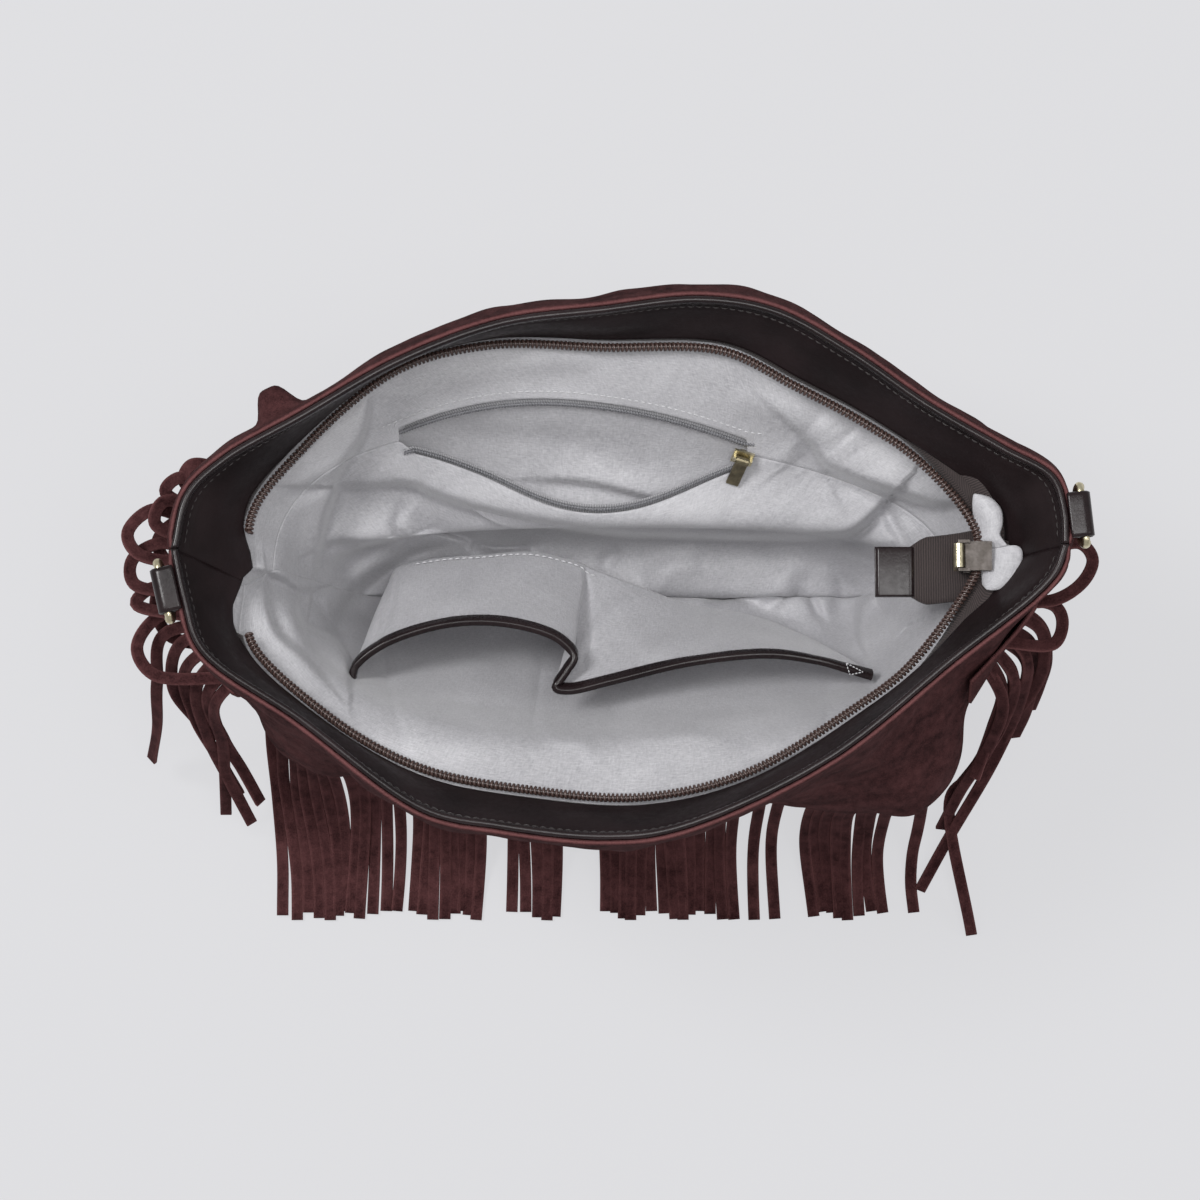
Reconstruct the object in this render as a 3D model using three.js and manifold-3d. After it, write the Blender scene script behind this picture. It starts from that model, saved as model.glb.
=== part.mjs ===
// Fringed suede bag standing on its base with its mouth wide open. A suede shell carries a leather
// facing and a rolled binding round the rim, an open coil zip, a satin lining with a zip pocket and a
// slip pocket, leather tabs with brass rings, a front fringe and a laced side fringe at each end.
// Millimetres. X runs along the mouth, the front is -Y, Z is up and the base rests on Z = 0.
import * as THREE from "three";
import { mergeVertices } from "three/addons/utils/BufferGeometryUtils.js";
import Module from "manifold-3d";

const wasm = await Module();
wasm.setup();

// Fit between pieces that touch
const touchGap = 0.3;
const clothGap = 0.6;
const seamGap = 0.8;

// Rim
const mouthLength = 326;
const mouthDepth = 196;
const bodyHeight = 240;
const tipRise = 4;
const tipShareLimit = 1.2;

// Suede body
const suedeThickness = 1.8;
const suedeEdgeOutset = 3.3;
const suedeEdgeDrop = 1.2;
const shoulderDrop = 35;
const shoulderSwell = 8;
const shoulderTaper = 1.5;
const waistHeight = 155;
const waistShare = 0.45;
const bellyHeight = 100;
const bellyLength = 284;
const bellyDepth = 152;
const bellyCorner = 30;
const lowerHeight = 45;
const lowerInset = 5;
const baseLength = 282;
const baseDepth = 114;
const baseCorner = 26;
const bodyTurn = -4;
const upperPanelEdge = 98;
const panelLap = 12;

// Base
const basePanelThickness = 2.4;
const boardThickness = 3;
const boardMargin = 8;

// Leather facing and rolled binding
const facingThickness = 1.2;
const facingDrop = 27;
const bindingWidth = 2.6;
const bindingHeight = 4.8;
const bindingStand = 0.6;

// Main zip
const tapeThickness = 0.8;
const edgeTuck = 8;
const coilRadius = 1.7;
const coilReach = 2.6;
const coilLeftStart = 22;
const sliderInset = 16.5;
const zipSpreadLength = 75;
const coilStop = 4;
const sliderLength = 10;
const sliderWidth = 11;
const sliderPlate = 1.2;
const postRadius = 0.9;
const pullerBarRadius = 0.7;
const pullerEyeRadius = 1.1;
const pullerEyeWall = 0.9;
const pullerWidth = 9;
const pullerLength = 17;
const pullerThickness = 1.4;
const armSideGap = 0.8;
const sliderArm = 1.2;
const castingOverlap = 0.5;
const tailThickness = 1.6;
const tailStartWidth = 12;
const tailWidth = 25;
const tailSpreadShare = 1 / 3;
const tailNarrowShare = 0.25;
const endTabLength = 15;
const endTabWidth = 19;
const endTabSleeve = 6;
const endTabLeather = 1.2;
const endTabMargin = 2;

// Lining
const liningThickness = 0.8;
const liningEndY = 5;

// Zip pocket in the back lining
const pocketRight = 0.672;
const pocketLeft = 0.89;
const pocketRightDrop = 66;
const pocketLeftDrop = 53;
const pocketRise = 6;
const pocketGape = 21;
const pocketHalfMouth = 4.8;
const pocketTapeWidth = 7;
const pocketCoilRadius = 1;
const pocketBagDepth = 15;
const pocketBagBelow = 15;
const pocketBagEnd = 0.04;
const pocketBowShare = 0.74;
const pocketCutPast = 0.015;
const pocketCutDepth = 5;
const pocketSliderLength = 8;
const pocketSliderWidth = 6;
const pocketSliderPlate = 1;
const pocketPostLength = 2;
const pocketPostWidth = 1.8;
const pocketArm = 1;
const pocketSliderShare = 0.02;
const pullBarRadius = 0.5;
const pullEyeRadius = 0.85;
const pullEyeWall = 0.7;
const pullTabWidth = 5;
const pullTabLength = 12;
const pullTabThickness = 1.2;

// Slip pocket on the front lining
const slipLeft = 0.072;
const slipRight = 0.408;
const slipDivider = 0.235;
const slipDrop = 70;
const slipDepth = 66;
const slipGapePower = 1.3;
const slipStandTop = 2.4;
const slipStandBottom = 1.2;
const slipGapeLeft = 34;
const slipGapeRight = 22;
const slipBindingHeight = 4;
const slipBindingThickness = 3;

// Rings in their leather tabs
const ringWire = 1.5;
const ringWidth = 24;
const ringDrop = 17;
const ringCorner = 2;
const tabWidth = 16;
const tabLeather = 1.6;
const tabBore = 0.3;
const leftTabPlace = 0.017;
const rightTabPlace = 0.513;

// Front fringe
const strandWidth = 4.4;
const strandThickness = 1.6;
const strandEndY = -123;
const headerStart = 0.03;
const headerEnd = 0.455;
const strandTuck = 1.5;
const strandFloorGap = 0.2;
const strandEndSway = 2;
const headerBelow = 5;
const headerAbove = 9;

// Side lacing
const thongWidth = 4;
const thongThickness = 1.8;
const lacingHeight = 168;
const lacingBand = 22;
const lacingReach = 0.06;
const lacingBackShare = 0.6;
const lacingKeepOutFoot = 40;
const lacingKeepOutDepth = 12;

// Columns along each half of every loop round the bag
const halfColumns = 24;

// Steps by which directions are read: along a loop, beside a face, and up and down it
const loopStep = 0.004;
const faceStep = 0.003;
const heightStep = 1;

// Sides of round bars and eyes
const roundSides = 12;

const up = new THREE.Vector3(0, 0, 1);
const smooth = (x) => THREE.MathUtils.smoothstep(x, 0, 1);
const mix = THREE.MathUtils.lerp;

// Materials
const finish = (color, roughness, metalness = 0) =>
  new THREE.MeshStandardMaterial({ color, roughness, metalness });
const suede = finish(0x5a3436, 0.95);
const leather = finish(0x261e1f, 0.45);
const tapeCloth = finish(0x2c2020, 0.9);
const nylon = finish(0x3a2a28, 0.4);
const greyTape = finish(0x9a9a9e, 0.9);
const greyNylon = finish(0x6a6a6e, 0.4);
const satin = finish(0xa9a9ad, 0.6);
const brass = finish(0xc9bd92, 0.3, 1);
const steel = finish(0xb8b8b4, 0.3, 1);
const board = finish(0x6b5b4a, 0.9);

// A closed surface from vertices and triangles, with its faces turned outward
function body(vertices, triangles) {
  const volume = triangles.reduce((sum, [a, b, c]) => {
    const normal = new THREE.Vector3().crossVectors(vertices[b], vertices[c]);
    return sum + vertices[a].dot(normal);
  }, 0);
  const order = volume < 0 ? triangles.map(([a, b, c]) => [a, c, b]) : triangles;
  return new THREE.BufferGeometry().setFromPoints(vertices).setIndex(order.flat());
}

// A sheet between two faces over a grid. pointOf(column, row, face) gives each corner, face 0 or 1
function sheet(columns, rows, pointOf) {
  const vertices = [];
  const triangles = [];
  for (const face of [0, 1]) {
    for (let i = 0; i <= columns; i++) {
      for (let j = 0; j <= rows; j++) vertices.push(pointOf(i, j, face));
    }
  }
  const id = (face, i, j) => (face * (columns + 1) + i) * (rows + 1) + j;
  const quad = (a, b, c, d) => triangles.push([a, b, c], [a, c, d]);
  for (let i = 0; i < columns; i++) {
    for (let j = 0; j < rows; j++) {
      quad(id(0, i, j), id(0, i + 1, j), id(0, i + 1, j + 1), id(0, i, j + 1));
      quad(id(1, i, j), id(1, i, j + 1), id(1, i + 1, j + 1), id(1, i + 1, j));
    }
    quad(id(0, i + 1, 0), id(0, i, 0), id(1, i, 0), id(1, i + 1, 0));
    quad(id(0, i, rows), id(0, i + 1, rows), id(1, i + 1, rows), id(1, i, rows));
  }
  for (let j = 0; j < rows; j++) {
    quad(id(0, 0, j), id(0, 0, j + 1), id(1, 0, j + 1), id(1, 0, j));
    quad(id(0, columns, j + 1), id(0, columns, j), id(1, columns, j), id(1, columns, j + 1));
  }
  return body(vertices, triangles);
}

// A body through convex sections, capped at both ends unless it closes on itself
function loft(sections, closed = false) {
  const sides = sections[0].length;
  const last = closed ? sections.length : sections.length - 1;
  const triangles = [];
  for (let i = 0; i < last; i++) {
    const next = (i + 1) % sections.length;
    for (let j = 0; j < sides; j++) {
      const k = (j + 1) % sides;
      triangles.push([i * sides + j, i * sides + k, next * sides + k]);
      triangles.push([i * sides + j, next * sides + k, next * sides + j]);
    }
  }
  for (let j = 1; j < sides - 1 && !closed; j++) {
    const end = (sections.length - 1) * sides;
    triangles.push([0, j + 1, j], [end, end + j, end + j + 1]);
  }
  return body(sections.flat(), triangles);
}

function toSolid(geometry) {
  const bare = geometry.clone();
  bare.deleteAttribute("normal");
  bare.deleteAttribute("uv");
  const merged = mergeVertices(bare, 1e-4);
  const vertProperties = merged.getAttribute("position").array;
  const triVerts = new Uint32Array(merged.index.array);
  return new wasm.Manifold(new wasm.Mesh({ numProp: 3, vertProperties, triVerts }));
}

function toGeometry(solid) {
  const mesh = solid.getMesh();
  const position = new THREE.BufferAttribute(mesh.vertProperties, mesh.numProp);
  const index = new THREE.BufferAttribute(mesh.triVerts, 1);
  return new THREE.BufferGeometry().setAttribute("position", position).setIndex(index);
}

function join(geometries) {
  return toGeometry(geometries.map(toSolid).reduce((sum, solid) => sum.add(solid)));
}

function cut(geometry, tool) {
  return toGeometry(toSolid(geometry).subtract(toSolid(tool)));
}

// Loops round the bag. s runs from 0 at the left seam along the front to 0.5 at the right seam, then
// back along the back to 1
function mouthCurve(fractions) {
  const points = fractions.map(
    ([x, y]) => new THREE.Vector3((x * mouthLength) / 2, (y * mouthDepth) / 2, 0),
  );
  return new THREE.CatmullRomCurve3(points, false, "centripetal");
}

function loop(front, back) {
  return (s) => {
    const turn = s - Math.floor(s);
    const half = turn < 0.5 ? front.getPointAt(2 * turn) : back.getPointAt(2 * turn - 1);
    return new THREE.Vector3(half.x, half.y, 0);
  };
}

function outwardAt(ring, s) {
  const step = ring(s + loopStep).sub(ring(s - loopStep));
  return new THREE.Vector3(step.y, -step.x, 0).normalize();
}

function outset(ring, distance) {
  return (s) => ring(s).addScaledVector(outwardAt(ring, s), distance(s));
}

// Rounded rectangle, turned a little, as seen from above
function roundedLoop(length, depth, corner) {
  const x = length / 2;
  const y = depth / 2;
  const front = new THREE.Path().moveTo(-x, 0).lineTo(-x, corner - y);
  front.absarc(corner - x, corner - y, corner, Math.PI, 1.5 * Math.PI).lineTo(x - corner, -y);
  front.absarc(x - corner, corner - y, corner, 1.5 * Math.PI, 2 * Math.PI).lineTo(x, 0);
  const back = new THREE.Path().moveTo(x, 0).lineTo(x, y - corner);
  back.absarc(x - corner, y - corner, corner, 0, 0.5 * Math.PI).lineTo(corner - x, y);
  back.absarc(corner - x, y - corner, corner, 0.5 * Math.PI, Math.PI).lineTo(-x, 0);
  const straight = loop(front, back);
  return (s) => straight(s).applyAxisAngle(up, THREE.MathUtils.degToRad(bodyTurn));
}

// Rim line along the top of the binding, front then back, in shares of half the mouth
const rim = loop(
  mouthCurve([
    [-1, 0.07], [-0.975, -0.12], [-0.935, -0.306], [-0.72, -0.56], [-0.437, -0.9], [-0.27, -0.96],
    [-0.043, -1], [0.123, -0.97], [0.46, -0.715], [0.74, -0.347], [0.97, -0.03], [1, 0.087],
  ]),
  mouthCurve([
    [1, 0.087], [0.997, 0.214], [0.972, 0.337], [0.86, 0.45], [0.69, 0.62], [0.523, 0.816],
    [0.35, 0.975], [0.184, 1.02], [-0.043, 0.98], [-0.27, 0.93], [-0.5, 0.786], [-0.724, 0.57],
    [-0.89, 0.408], [-0.97, 0.275], [-1, 0.07],
  ]),
);

// Inner edge of the leather facing
const facingEdge = loop(
  mouthCurve([
    [-0.865, -0.02], [-0.862, -0.25], [-0.69, -0.53], [-0.45, -0.76], [-0.2, -0.845],
    [0.06, -0.87], [0.3, -0.77], [0.575, -0.49], [0.685, -0.345], [0.815, -0.12], [0.915, 0.07],
  ]),
  mouthCurve([
    [0.915, 0.07], [0.86, 0.27], [0.6, 0.59], [0.42, 0.76], [0.25, 0.9], [-0.04, 0.915],
    [-0.3, 0.915], [-0.515, 0.81], [-0.745, 0.5], [-0.862, 0.25], [-0.865, -0.02],
  ]),
);

const tipShare = (point) => Math.min(tipShareLimit, Math.abs(point.x) / (mouthLength / 2)) ** 4;
const rimHeight = (s) => bodyHeight + tipRise * tipShare(rim(s));

// Smooth curve through points ordered by falling height, read at one height
function throughHeights(points, z) {
  let i = 0;
  while (i < points.length - 2 && z < points[i + 1].z) i++;
  const slope = (k) => {
    const a = points[Math.max(0, k - 1)];
    const b = points[Math.min(points.length - 1, k + 1)];
    return b.clone().sub(a).divideScalar(b.z - a.z);
  };
  const span = points[i + 1].z - points[i].z;
  const t = (z - points[i].z) / span;
  const blend = new THREE.Vector3()
    .addScaledVector(points[i], 2 * t ** 3 - 3 * t ** 2 + 1)
    .addScaledVector(slope(i), (t ** 3 - 2 * t ** 2 + t) * span)
    .addScaledVector(points[i + 1], -2 * t ** 3 + 3 * t ** 2)
    .addScaledVector(slope(i + 1), (t ** 3 - t ** 2) * span);
  return blend.setZ(z);
}

// Outer face of the suede wall: it leaves the rim, swells a little at the back and ends, and rounds
// out to a boxy belly that stands on a narrower base
const belly = roundedLoop(bellyLength, bellyDepth, bellyCorner);
const lower = roundedLoop(bellyLength - lowerInset, bellyDepth - 2 * lowerInset, bellyCorner);
const base = roundedLoop(baseLength, baseDepth, baseCorner);
const wallEdge = outset(rim, () => suedeEdgeOutset);
const shoulder = outset(
  rim,
  (s) => suedeEdgeOutset + shoulderSwell * ((1 + outwardAt(rim, s).y) / 2) ** shoulderTaper,
);
const wallTop = (s) => rimHeight(s) - suedeEdgeDrop;
const wallBottom = basePanelThickness + touchGap;

function wallFace(s, z) {
  const waist = wallEdge(s).lerp(belly(s), waistShare);
  const points = [
    wallEdge(s).setZ(wallTop(s)),
    shoulder(s).setZ(bodyHeight - shoulderDrop),
    waist.setZ(waistHeight),
    belly(s).setZ(bellyHeight),
    lower(s).setZ(lowerHeight),
    base(s).setZ(wallBottom),
  ];
  return throughHeights(points, z);
}

// Unit vector out of a face given by s and a height, pointing away from the middle of the bag
function faceNormal(face, s, z) {
  const along = face(s + faceStep, z).sub(face(s - faceStep, z));
  const fall = face(s, z - heightStep).sub(face(s, z + heightStep));
  return fall.cross(along).normalize();
}

function raised(face, s, z, distance) {
  return face(s, z).addScaledVector(faceNormal(face, s, z), distance);
}

// Layers lie parallel because all share one grid: straight between one column and the next
const columns = 2 * halfColumns;

function alongColumns(pointAt) {
  return (s, ...rest) => {
    const left = Math.floor(s * columns + 1e-9);
    const from = pointAt(left / columns, ...rest);
    return from.lerp(pointAt((left + 1) / columns, ...rest), s * columns - left);
  };
}

// The same from row to row. Rows are heights in falling order, some of them given by the column
function alongRows(pointAt, rows) {
  return (s, z, distance) => {
    const heights = rows(s);
    const row = heights.findIndex((height, j) => j > 0 && z >= height);
    const below = row < 0 ? heights.length - 1 : row;
    const share = (z - heights[below]) / (heights[below - 1] - heights[below]);
    const foot = pointAt(s, heights[below], distance);
    return foot.lerp(pointAt(s, heights[below - 1], distance), share);
  };
}

// Column positions from one place on a loop to another, on the shared columns between
function columnsBetween(start, end) {
  const first = Math.floor(start * columns + 1e-6) + 1;
  const last = Math.ceil(end * columns - 1e-6) - 1;
  const inner = Array.from({ length: last - first + 1 }, (_, i) => (first + i) / columns);
  return [start, ...inner, end];
}

// Row heights from one height down to another, on the shared rows between
function rowsBetween(rows, top, bottom) {
  return [top, ...rows.filter((z) => z < top - 1e-6 && z > bottom + 1e-6), bottom];
}

const seamShare = seamGap / (2 * (mouthLength + mouthDepth));
const frontSpan = [seamShare, 0.5 - seamShare];
const backSpan = [0.5 + seamShare, 1 - seamShare];

// A panel of the wall from one height down to another, its faces at two distances from the wall
const rowShares = [0.925, 0.854, 0.75, 0.646, 0.533, 0.458, 0.408, 0.3, 0.1875, 0.083];
const wallRows = rowShares.map((share) => share * bodyHeight);
const rowsOfWall = (s) => [wallTop(s), ...wallRows, wallBottom];
const wallAt = alongColumns(alongRows((s, z, off) => raised(wallFace, s, z, off), rowsOfWall));

function wallPanel([start, end], top, bottom, outer, inner) {
  const places = columnsBetween(start, end);
  const heights = rowsBetween(wallRows, top, bottom);
  return sheet(places.length - 1, heights.length - 1, (i, j, face) => {
    const z = Math.min(heights[j], wallTop(places[i]));
    return wallAt(places[i], z, face ? inner(z) : outer(z));
  });
}

// The lower front panel lies under the fringe strip, which lies under the upper panel
const fringeLayer = suedeThickness + touchGap;
const lowerLayer = fringeLayer + strandThickness + clothGap;
const lowerDepth = (z) => -lowerLayer * smooth((z - wallBottom) / (lowerHeight - wallBottom));
const lapTop = upperPanelEdge + panelLap;
const rimTop = bodyHeight + 2 * tipRise;
const at = (distance) => () => distance;
const lowerInside = (z) => lowerDepth(z) - suedeThickness;

const upperFront = wallPanel(frontSpan, rimTop, upperPanelEdge, at(0), at(-suedeThickness));
const lowerFront = wallPanel(frontSpan, lapTop, wallBottom, lowerDepth, lowerInside);
const backPanel = wallPanel(backSpan, rimTop, wallBottom, at(0), at(-suedeThickness));

// Flat base panel under the walls, with a stiffener board inside
function plate(margin, bottom, thickness) {
  const outline = Array.from({ length: 2 * halfColumns }, (_, i) => {
    const s = i / (2 * halfColumns);
    return base(s).addScaledVector(outwardAt(base, s), -margin);
  });
  const shape = new THREE.Shape(outline.map((point) => new THREE.Vector2(point.x, point.y)));
  const made = new THREE.ExtrudeGeometry(shape, { depth: thickness, bevelEnabled: false });
  return made.translate(0, 0, bottom);
}

const basePanel = plate(0, 0, basePanelThickness);
const boardMarginIn = lowerLayer + boardMargin;
const baseBoard = plate(boardMarginIn, wallBottom, boardThickness);

// Rolled binding along the rim line
function binding([start, end]) {
  const places = columnsBetween(start, end);
  const half = bindingWidth / 2;
  const corners = [
    [-half, 0.7], [-0.45 * half, 1], [0.45 * half, 1], [half, 0.7], [half, 0], [-half, 0],
  ];
  const sections = places.map((s) => {
    const foot = rimHeight(s) + bindingStand - bindingHeight;
    return corners.map(([across, share]) =>
      rim(s)
        .addScaledVector(outwardAt(rim, s), across)
        .setZ(foot + share * bindingHeight),
    );
  });
  return loft(sections);
}

// Leather facing: its own frame at its inner edge, with fall down the band and rise off its face
const facingTop = (s) =>
  rim(s)
    .addScaledVector(outwardAt(rim, s), -touchGap)
    .setZ(rimHeight(s) + bindingStand - bindingHeight - touchGap);
const facingFoot = (s) => {
  const point = facingEdge(s);
  return point.setZ(bodyHeight + tipRise * tipShare(point) - facingDrop);
};

function facingFrame(s) {
  const foot = facingFoot(s);
  const along = facingFoot(s + loopStep).sub(facingFoot(s - loopStep)).normalize();
  const fall = foot.clone().sub(facingTop(s)).normalize();
  const rise = along.clone().cross(fall).normalize();
  return { foot, along, fall, rise };
}

const onFacing = alongColumns((s, down, off) => {
  const { foot, fall, rise } = facingFrame(s);
  return foot.addScaledVector(fall, down).addScaledVector(rise, off);
});

const facingWidth = (s) => facingTop(s).distanceTo(facingFoot(s));

function facing([start, end]) {
  const places = columnsBetween(start, end);
  return sheet(places.length - 1, 2, (i, j, face) => {
    const down = [-facingWidth(places[i]), -edgeTuck, 0][j];
    return onFacing(places[i], down, -face * facingThickness);
  });
}

// Coil route: close under the facing's edge, then leaving it for the slider at the right end
const tapeLayer = facingThickness + clothGap;
const liningLayer = tapeLayer + tapeThickness + clothGap;
const halfRound = mouthLength + mouthDepth / 2;

const nearSlider = (s) => smooth(1 - (Math.abs(s - 0.5) * 2 * halfRound) / zipSpreadLength);

function sliderPoint() {
  const { foot, rise } = facingFrame(0.5);
  const z = foot.z - tapeLayer * rise.z + clothGap + coilRadius;
  return new THREE.Vector3(foot.x - sliderInset, foot.y, z);
}

function coilCentre(s, side) {
  const { foot, fall, rise } = facingFrame(s);
  const meeting = sliderPoint();
  meeting.y += side * coilStop;
  foot.addScaledVector(fall, coilReach).addScaledVector(rise, coilRadius - facingThickness);
  return foot.lerp(meeting, nearSlider(s));
}

// A point beside a coil: past it into the mouth and off its tape. Side -1 is the front, 1 the back
const besideCoil = alongColumns((s, side, past, off) => {
  const span = side < 0 ? [0, 0.5] : [0.5, 1];
  const ahead = coilCentre(THREE.MathUtils.clamp(s + loopStep, ...span), side);
  const behind = coilCentre(THREE.MathUtils.clamp(s - loopStep, ...span), side);
  const along = ahead.sub(behind).normalize();
  const inward = up.clone().cross(along).normalize();
  const reach = facingFrame(s).fall.lerp(inward, nearSlider(s)).normalize();
  const rise = along.cross(reach).normalize();
  return coilCentre(s, side).addScaledVector(reach, past).addScaledVector(rise, off);
});

const shareOf = (length) => length / (2 * halfRound);
const frontZip = [shareOf(coilLeftStart), frontSpan[1]];
const backZip = [backSpan[0], 1 - shareOf(coilLeftStart)];

// Section of a coil: six points, each asked for by its shares across the tape and off it
function coilSection(pointAt) {
  const angles = [0, 1, 2, 3, 4, 5].map((k) => (k * Math.PI) / 3);
  return angles.map((angle) => pointAt(Math.cos(angle), Math.sin(angle)));
}

function coil([start, end], side) {
  const sections = columnsBetween(start, end).map((s) =>
    coilSection((across, off) => besideCoil(s, side, coilRadius * across, coilRadius * off)),
  );
  return loft(sections);
}

function zipTape([start, end], side) {
  const places = columnsBetween(start, end);
  return sheet(places.length - 1, 3, (i, j, face) => {
    const s = places[i];
    const sink = face * tapeThickness;
    if (j < 2) return onFacing(s, j ? 0 : -edgeTuck, -tapeLayer - sink);
    return besideCoil(s, side, j > 2 ? coilRadius : -coilRadius, -coilRadius - clothGap - sink);
  });
}

// Slider at the meeting of the coils: two plates and a post, with a bar for its puller on the left
const sliderHome = sliderPoint();
const plateTop = coilRadius + touchGap;
const plateBottom = -(coilRadius + 2 * clothGap + tapeThickness + touchGap);
const sliderFront = -(coilRadius + 2 * postRadius + 2 * touchGap);
const barX = sliderFront - pullerEyeRadius - pullerEyeWall - touchGap;
const barZ = plateTop + sliderPlate + pullerBarRadius;

function box(x0, x1, y0, y1, z0, z1) {
  const made = new THREE.BoxGeometry(x1 - x0, y1 - y0, z1 - z0);
  return made.translate((x0 + x1) / 2, (y0 + y1) / 2, (z0 + z1) / 2);
}

function cylinderAlongY(radius, length) {
  return new THREE.CylinderGeometry(radius, radius, length, roundSides);
}

function sliderShape() {
  const half = sliderWidth / 2;
  const rear = sliderFront + sliderLength;
  const armY = pullerWidth / 2 + armSideGap;
  const postTop = plateTop + castingOverlap;
  const postEnd = sliderFront + 2 * postRadius;
  const parts = [
    box(sliderFront, rear, -half, half, plateTop, plateTop + sliderPlate),
    box(sliderFront, rear, -half, half, plateBottom - sliderPlate, plateBottom),
    box(sliderFront, postEnd, -postRadius, postRadius, plateBottom - castingOverlap, postTop),
    cylinderAlongY(pullerBarRadius, 2 * armY + sliderArm).translate(barX, 0, barZ),
  ];
  for (const side of [-1, 1]) {
    const y = side * armY;
    const top = barZ + pullerBarRadius;
    parts.push(box(barX, postEnd, y - sliderArm / 2, y + sliderArm / 2, postTop, top));
  }
  return join(parts);
}

// Puller plate hanging from the bar: an oval plate with an eye round the bar
function pullerShape() {
  const outline = new THREE.Shape();
  const half = pullerWidth / 2;
  outline.moveTo(-half, 0).lineTo(-half, half - pullerLength);
  outline.absarc(0, half - pullerLength, half, Math.PI, 2 * Math.PI).lineTo(half, 0);
  const flat = new THREE.ExtrudeGeometry(outline, {
    depth: pullerThickness,
    bevelEnabled: false,
    curveSegments: 6,
  });
  flat.translate(0, 0, -pullerThickness / 2).rotateX(Math.PI / 2).rotateZ(Math.PI / 2);
  const eye = cylinderAlongY(pullerEyeRadius + pullerEyeWall, pullerWidth);
  const bore = cylinderAlongY(pullerEyeRadius, 2 * pullerWidth);
  return cut(join([flat, eye]), bore);
}

// Folded end of the zip: the tape turns under the slider and runs back to a leather end tab
const tailRoute = new THREE.CatmullRomCurve3(
  [[13, -4.1], [9.5, -4.3], [7.6, -7], [4, -12], [-3, -16.5], [-12, -19], [-27, -20]].map(
    ([x, z]) => new THREE.Vector3(x, 0, z),
  ),
);
const tailSteps = 10;

function tailShape() {
  return sheet(tailSteps, 2, (i, j, face) => {
    const u = i / tailSteps;
    const tangent = tailRoute.getTangentAt(u);
    const normal = new THREE.Vector3(-tangent.z, 0, tangent.x);
    const half = mix(tailStartWidth, tailWidth, smooth(u / tailSpreadShare)) / 2;
    const closing = smooth((u - 1 + tailNarrowShare) / tailNarrowShare);
    const narrowed = mix(half, endTabWidth / 2 - endTabMargin, closing);
    const point = tailRoute.getPointAt(u).addScaledVector(normal, (0.5 - face) * tailThickness);
    return point.setY(narrowed * (j - 1));
  });
}

function endTabShape() {
  const end = tailRoute.getPointAt(1);
  const half = endTabWidth / 2;
  const height = tailThickness / 2 + touchGap + endTabLeather;
  const outer = box(
    end.x + endTabSleeve - endTabLength,
    end.x + endTabSleeve,
    -half,
    half,
    end.z - height,
    end.z + height,
  );
  const slotHeight = tailThickness / 2 + touchGap;
  const slot = box(
    end.x - touchGap,
    end.x + 2 * endTabSleeve,
    -endTabWidth,
    endTabWidth,
    end.z - slotHeight,
    end.z + slotHeight,
  );
  return cut(outer, slot);
}

// Lining: from under the tape it slopes in to a narrow trough and meets in a bottom seam
function lobe(left, right, front, back, squareness) {
  const half = (depth, from) => {
    const points = Array.from({ length: 25 }, (_, i) => {
      const angle = from + (i * Math.PI) / 24;
      const x = Math.sign(Math.cos(angle)) * Math.abs(Math.cos(angle)) ** squareness;
      const y = Math.abs(Math.sin(angle)) ** squareness;
      return new THREE.Vector3(mix(left, right, (x + 1) / 2), mix(liningEndY, depth, y), 0);
    });
    return new THREE.CatmullRomCurve3(points, false, "centripetal");
  };
  return loop(half(front, Math.PI), half(back, 0));
}

// Its levels and its rows lie at these drops from the rim
const liningLevels = [
  { drop: 50, ring: lobe(-130, 139, -64, 69, 0.85) },
  { drop: 72, ring: lobe(-124, 129, -53, 47, 0.8) },
  { drop: 90, ring: lobe(-118, 120, -45, 28, 0.75) },
  { drop: 112, ring: lobe(-112, 112, -31, 29, 0.7) },
  { drop: 132, ring: lobe(-106, 105, -14, 20, 0.65) },
  { drop: 145, ring: lobe(-100, 98, 4.2, 5.8, 0.6) },
];
const rowDrops = [50, 61, 72, 81, 90, 101, 116, 132, 145];
const liningRows = rowDrops.map((drop) => bodyHeight - drop);

const liningTop = (s) => onFacing(s, coilReach + coilRadius, -liningLayer);

function liningFace(s, z) {
  const levels = liningLevels.map(({ drop, ring }) => ring(s).setZ(bodyHeight - drop));
  const points = [liningTop(s), ...levels];
  return throughHeights(points, Math.min(z, points[0].z));
}

const liningNormal = (s, z) => faceNormal(liningFace, s, z).negate();

// A point on the lining, lifted towards the middle of the bag
const onLining = alongColumns(
  alongRows(
    (s, z, lift) => liningFace(s, z).addScaledVector(liningNormal(s, z), lift),
    (s) => [liningTop(s).z, ...liningRows],
  ),
);

function lining([start, end]) {
  const places = columnsBetween(start, end);
  return sheet(places.length - 1, liningRows.length + 1, (i, j, face) => {
    const s = places[i];
    const sink = -face * liningThickness;
    if (j === 0) return onFacing(s, -edgeTuck, sink - liningLayer);
    if (j === 1) return onFacing(s, coilReach + coilRadius, sink - liningLayer);
    return onLining(s, liningRows[j - 2], sink);
  });
}

// Mouth of the zip pocket: a lens between an upper and a lower edge on the back lining
const pocketColumns = 14;
const pocketRows = 6;
const pocketPlace = (a) => mix(pocketRight, pocketLeft, a);
const pocketRightHeight = bodyHeight - pocketRightDrop;
const pocketLeftHeight = bodyHeight - pocketLeftDrop;
const pocketMiddle = (a) => mix(pocketRightHeight, pocketLeftHeight, a);
const pocketUpper = (a) => pocketMiddle(a) + pocketHalfMouth + pocketRise * Math.sin(Math.PI * a);
const pocketLower = (a) => pocketMiddle(a) - pocketHalfMouth - pocketGape * Math.sin(Math.PI * a);

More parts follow.
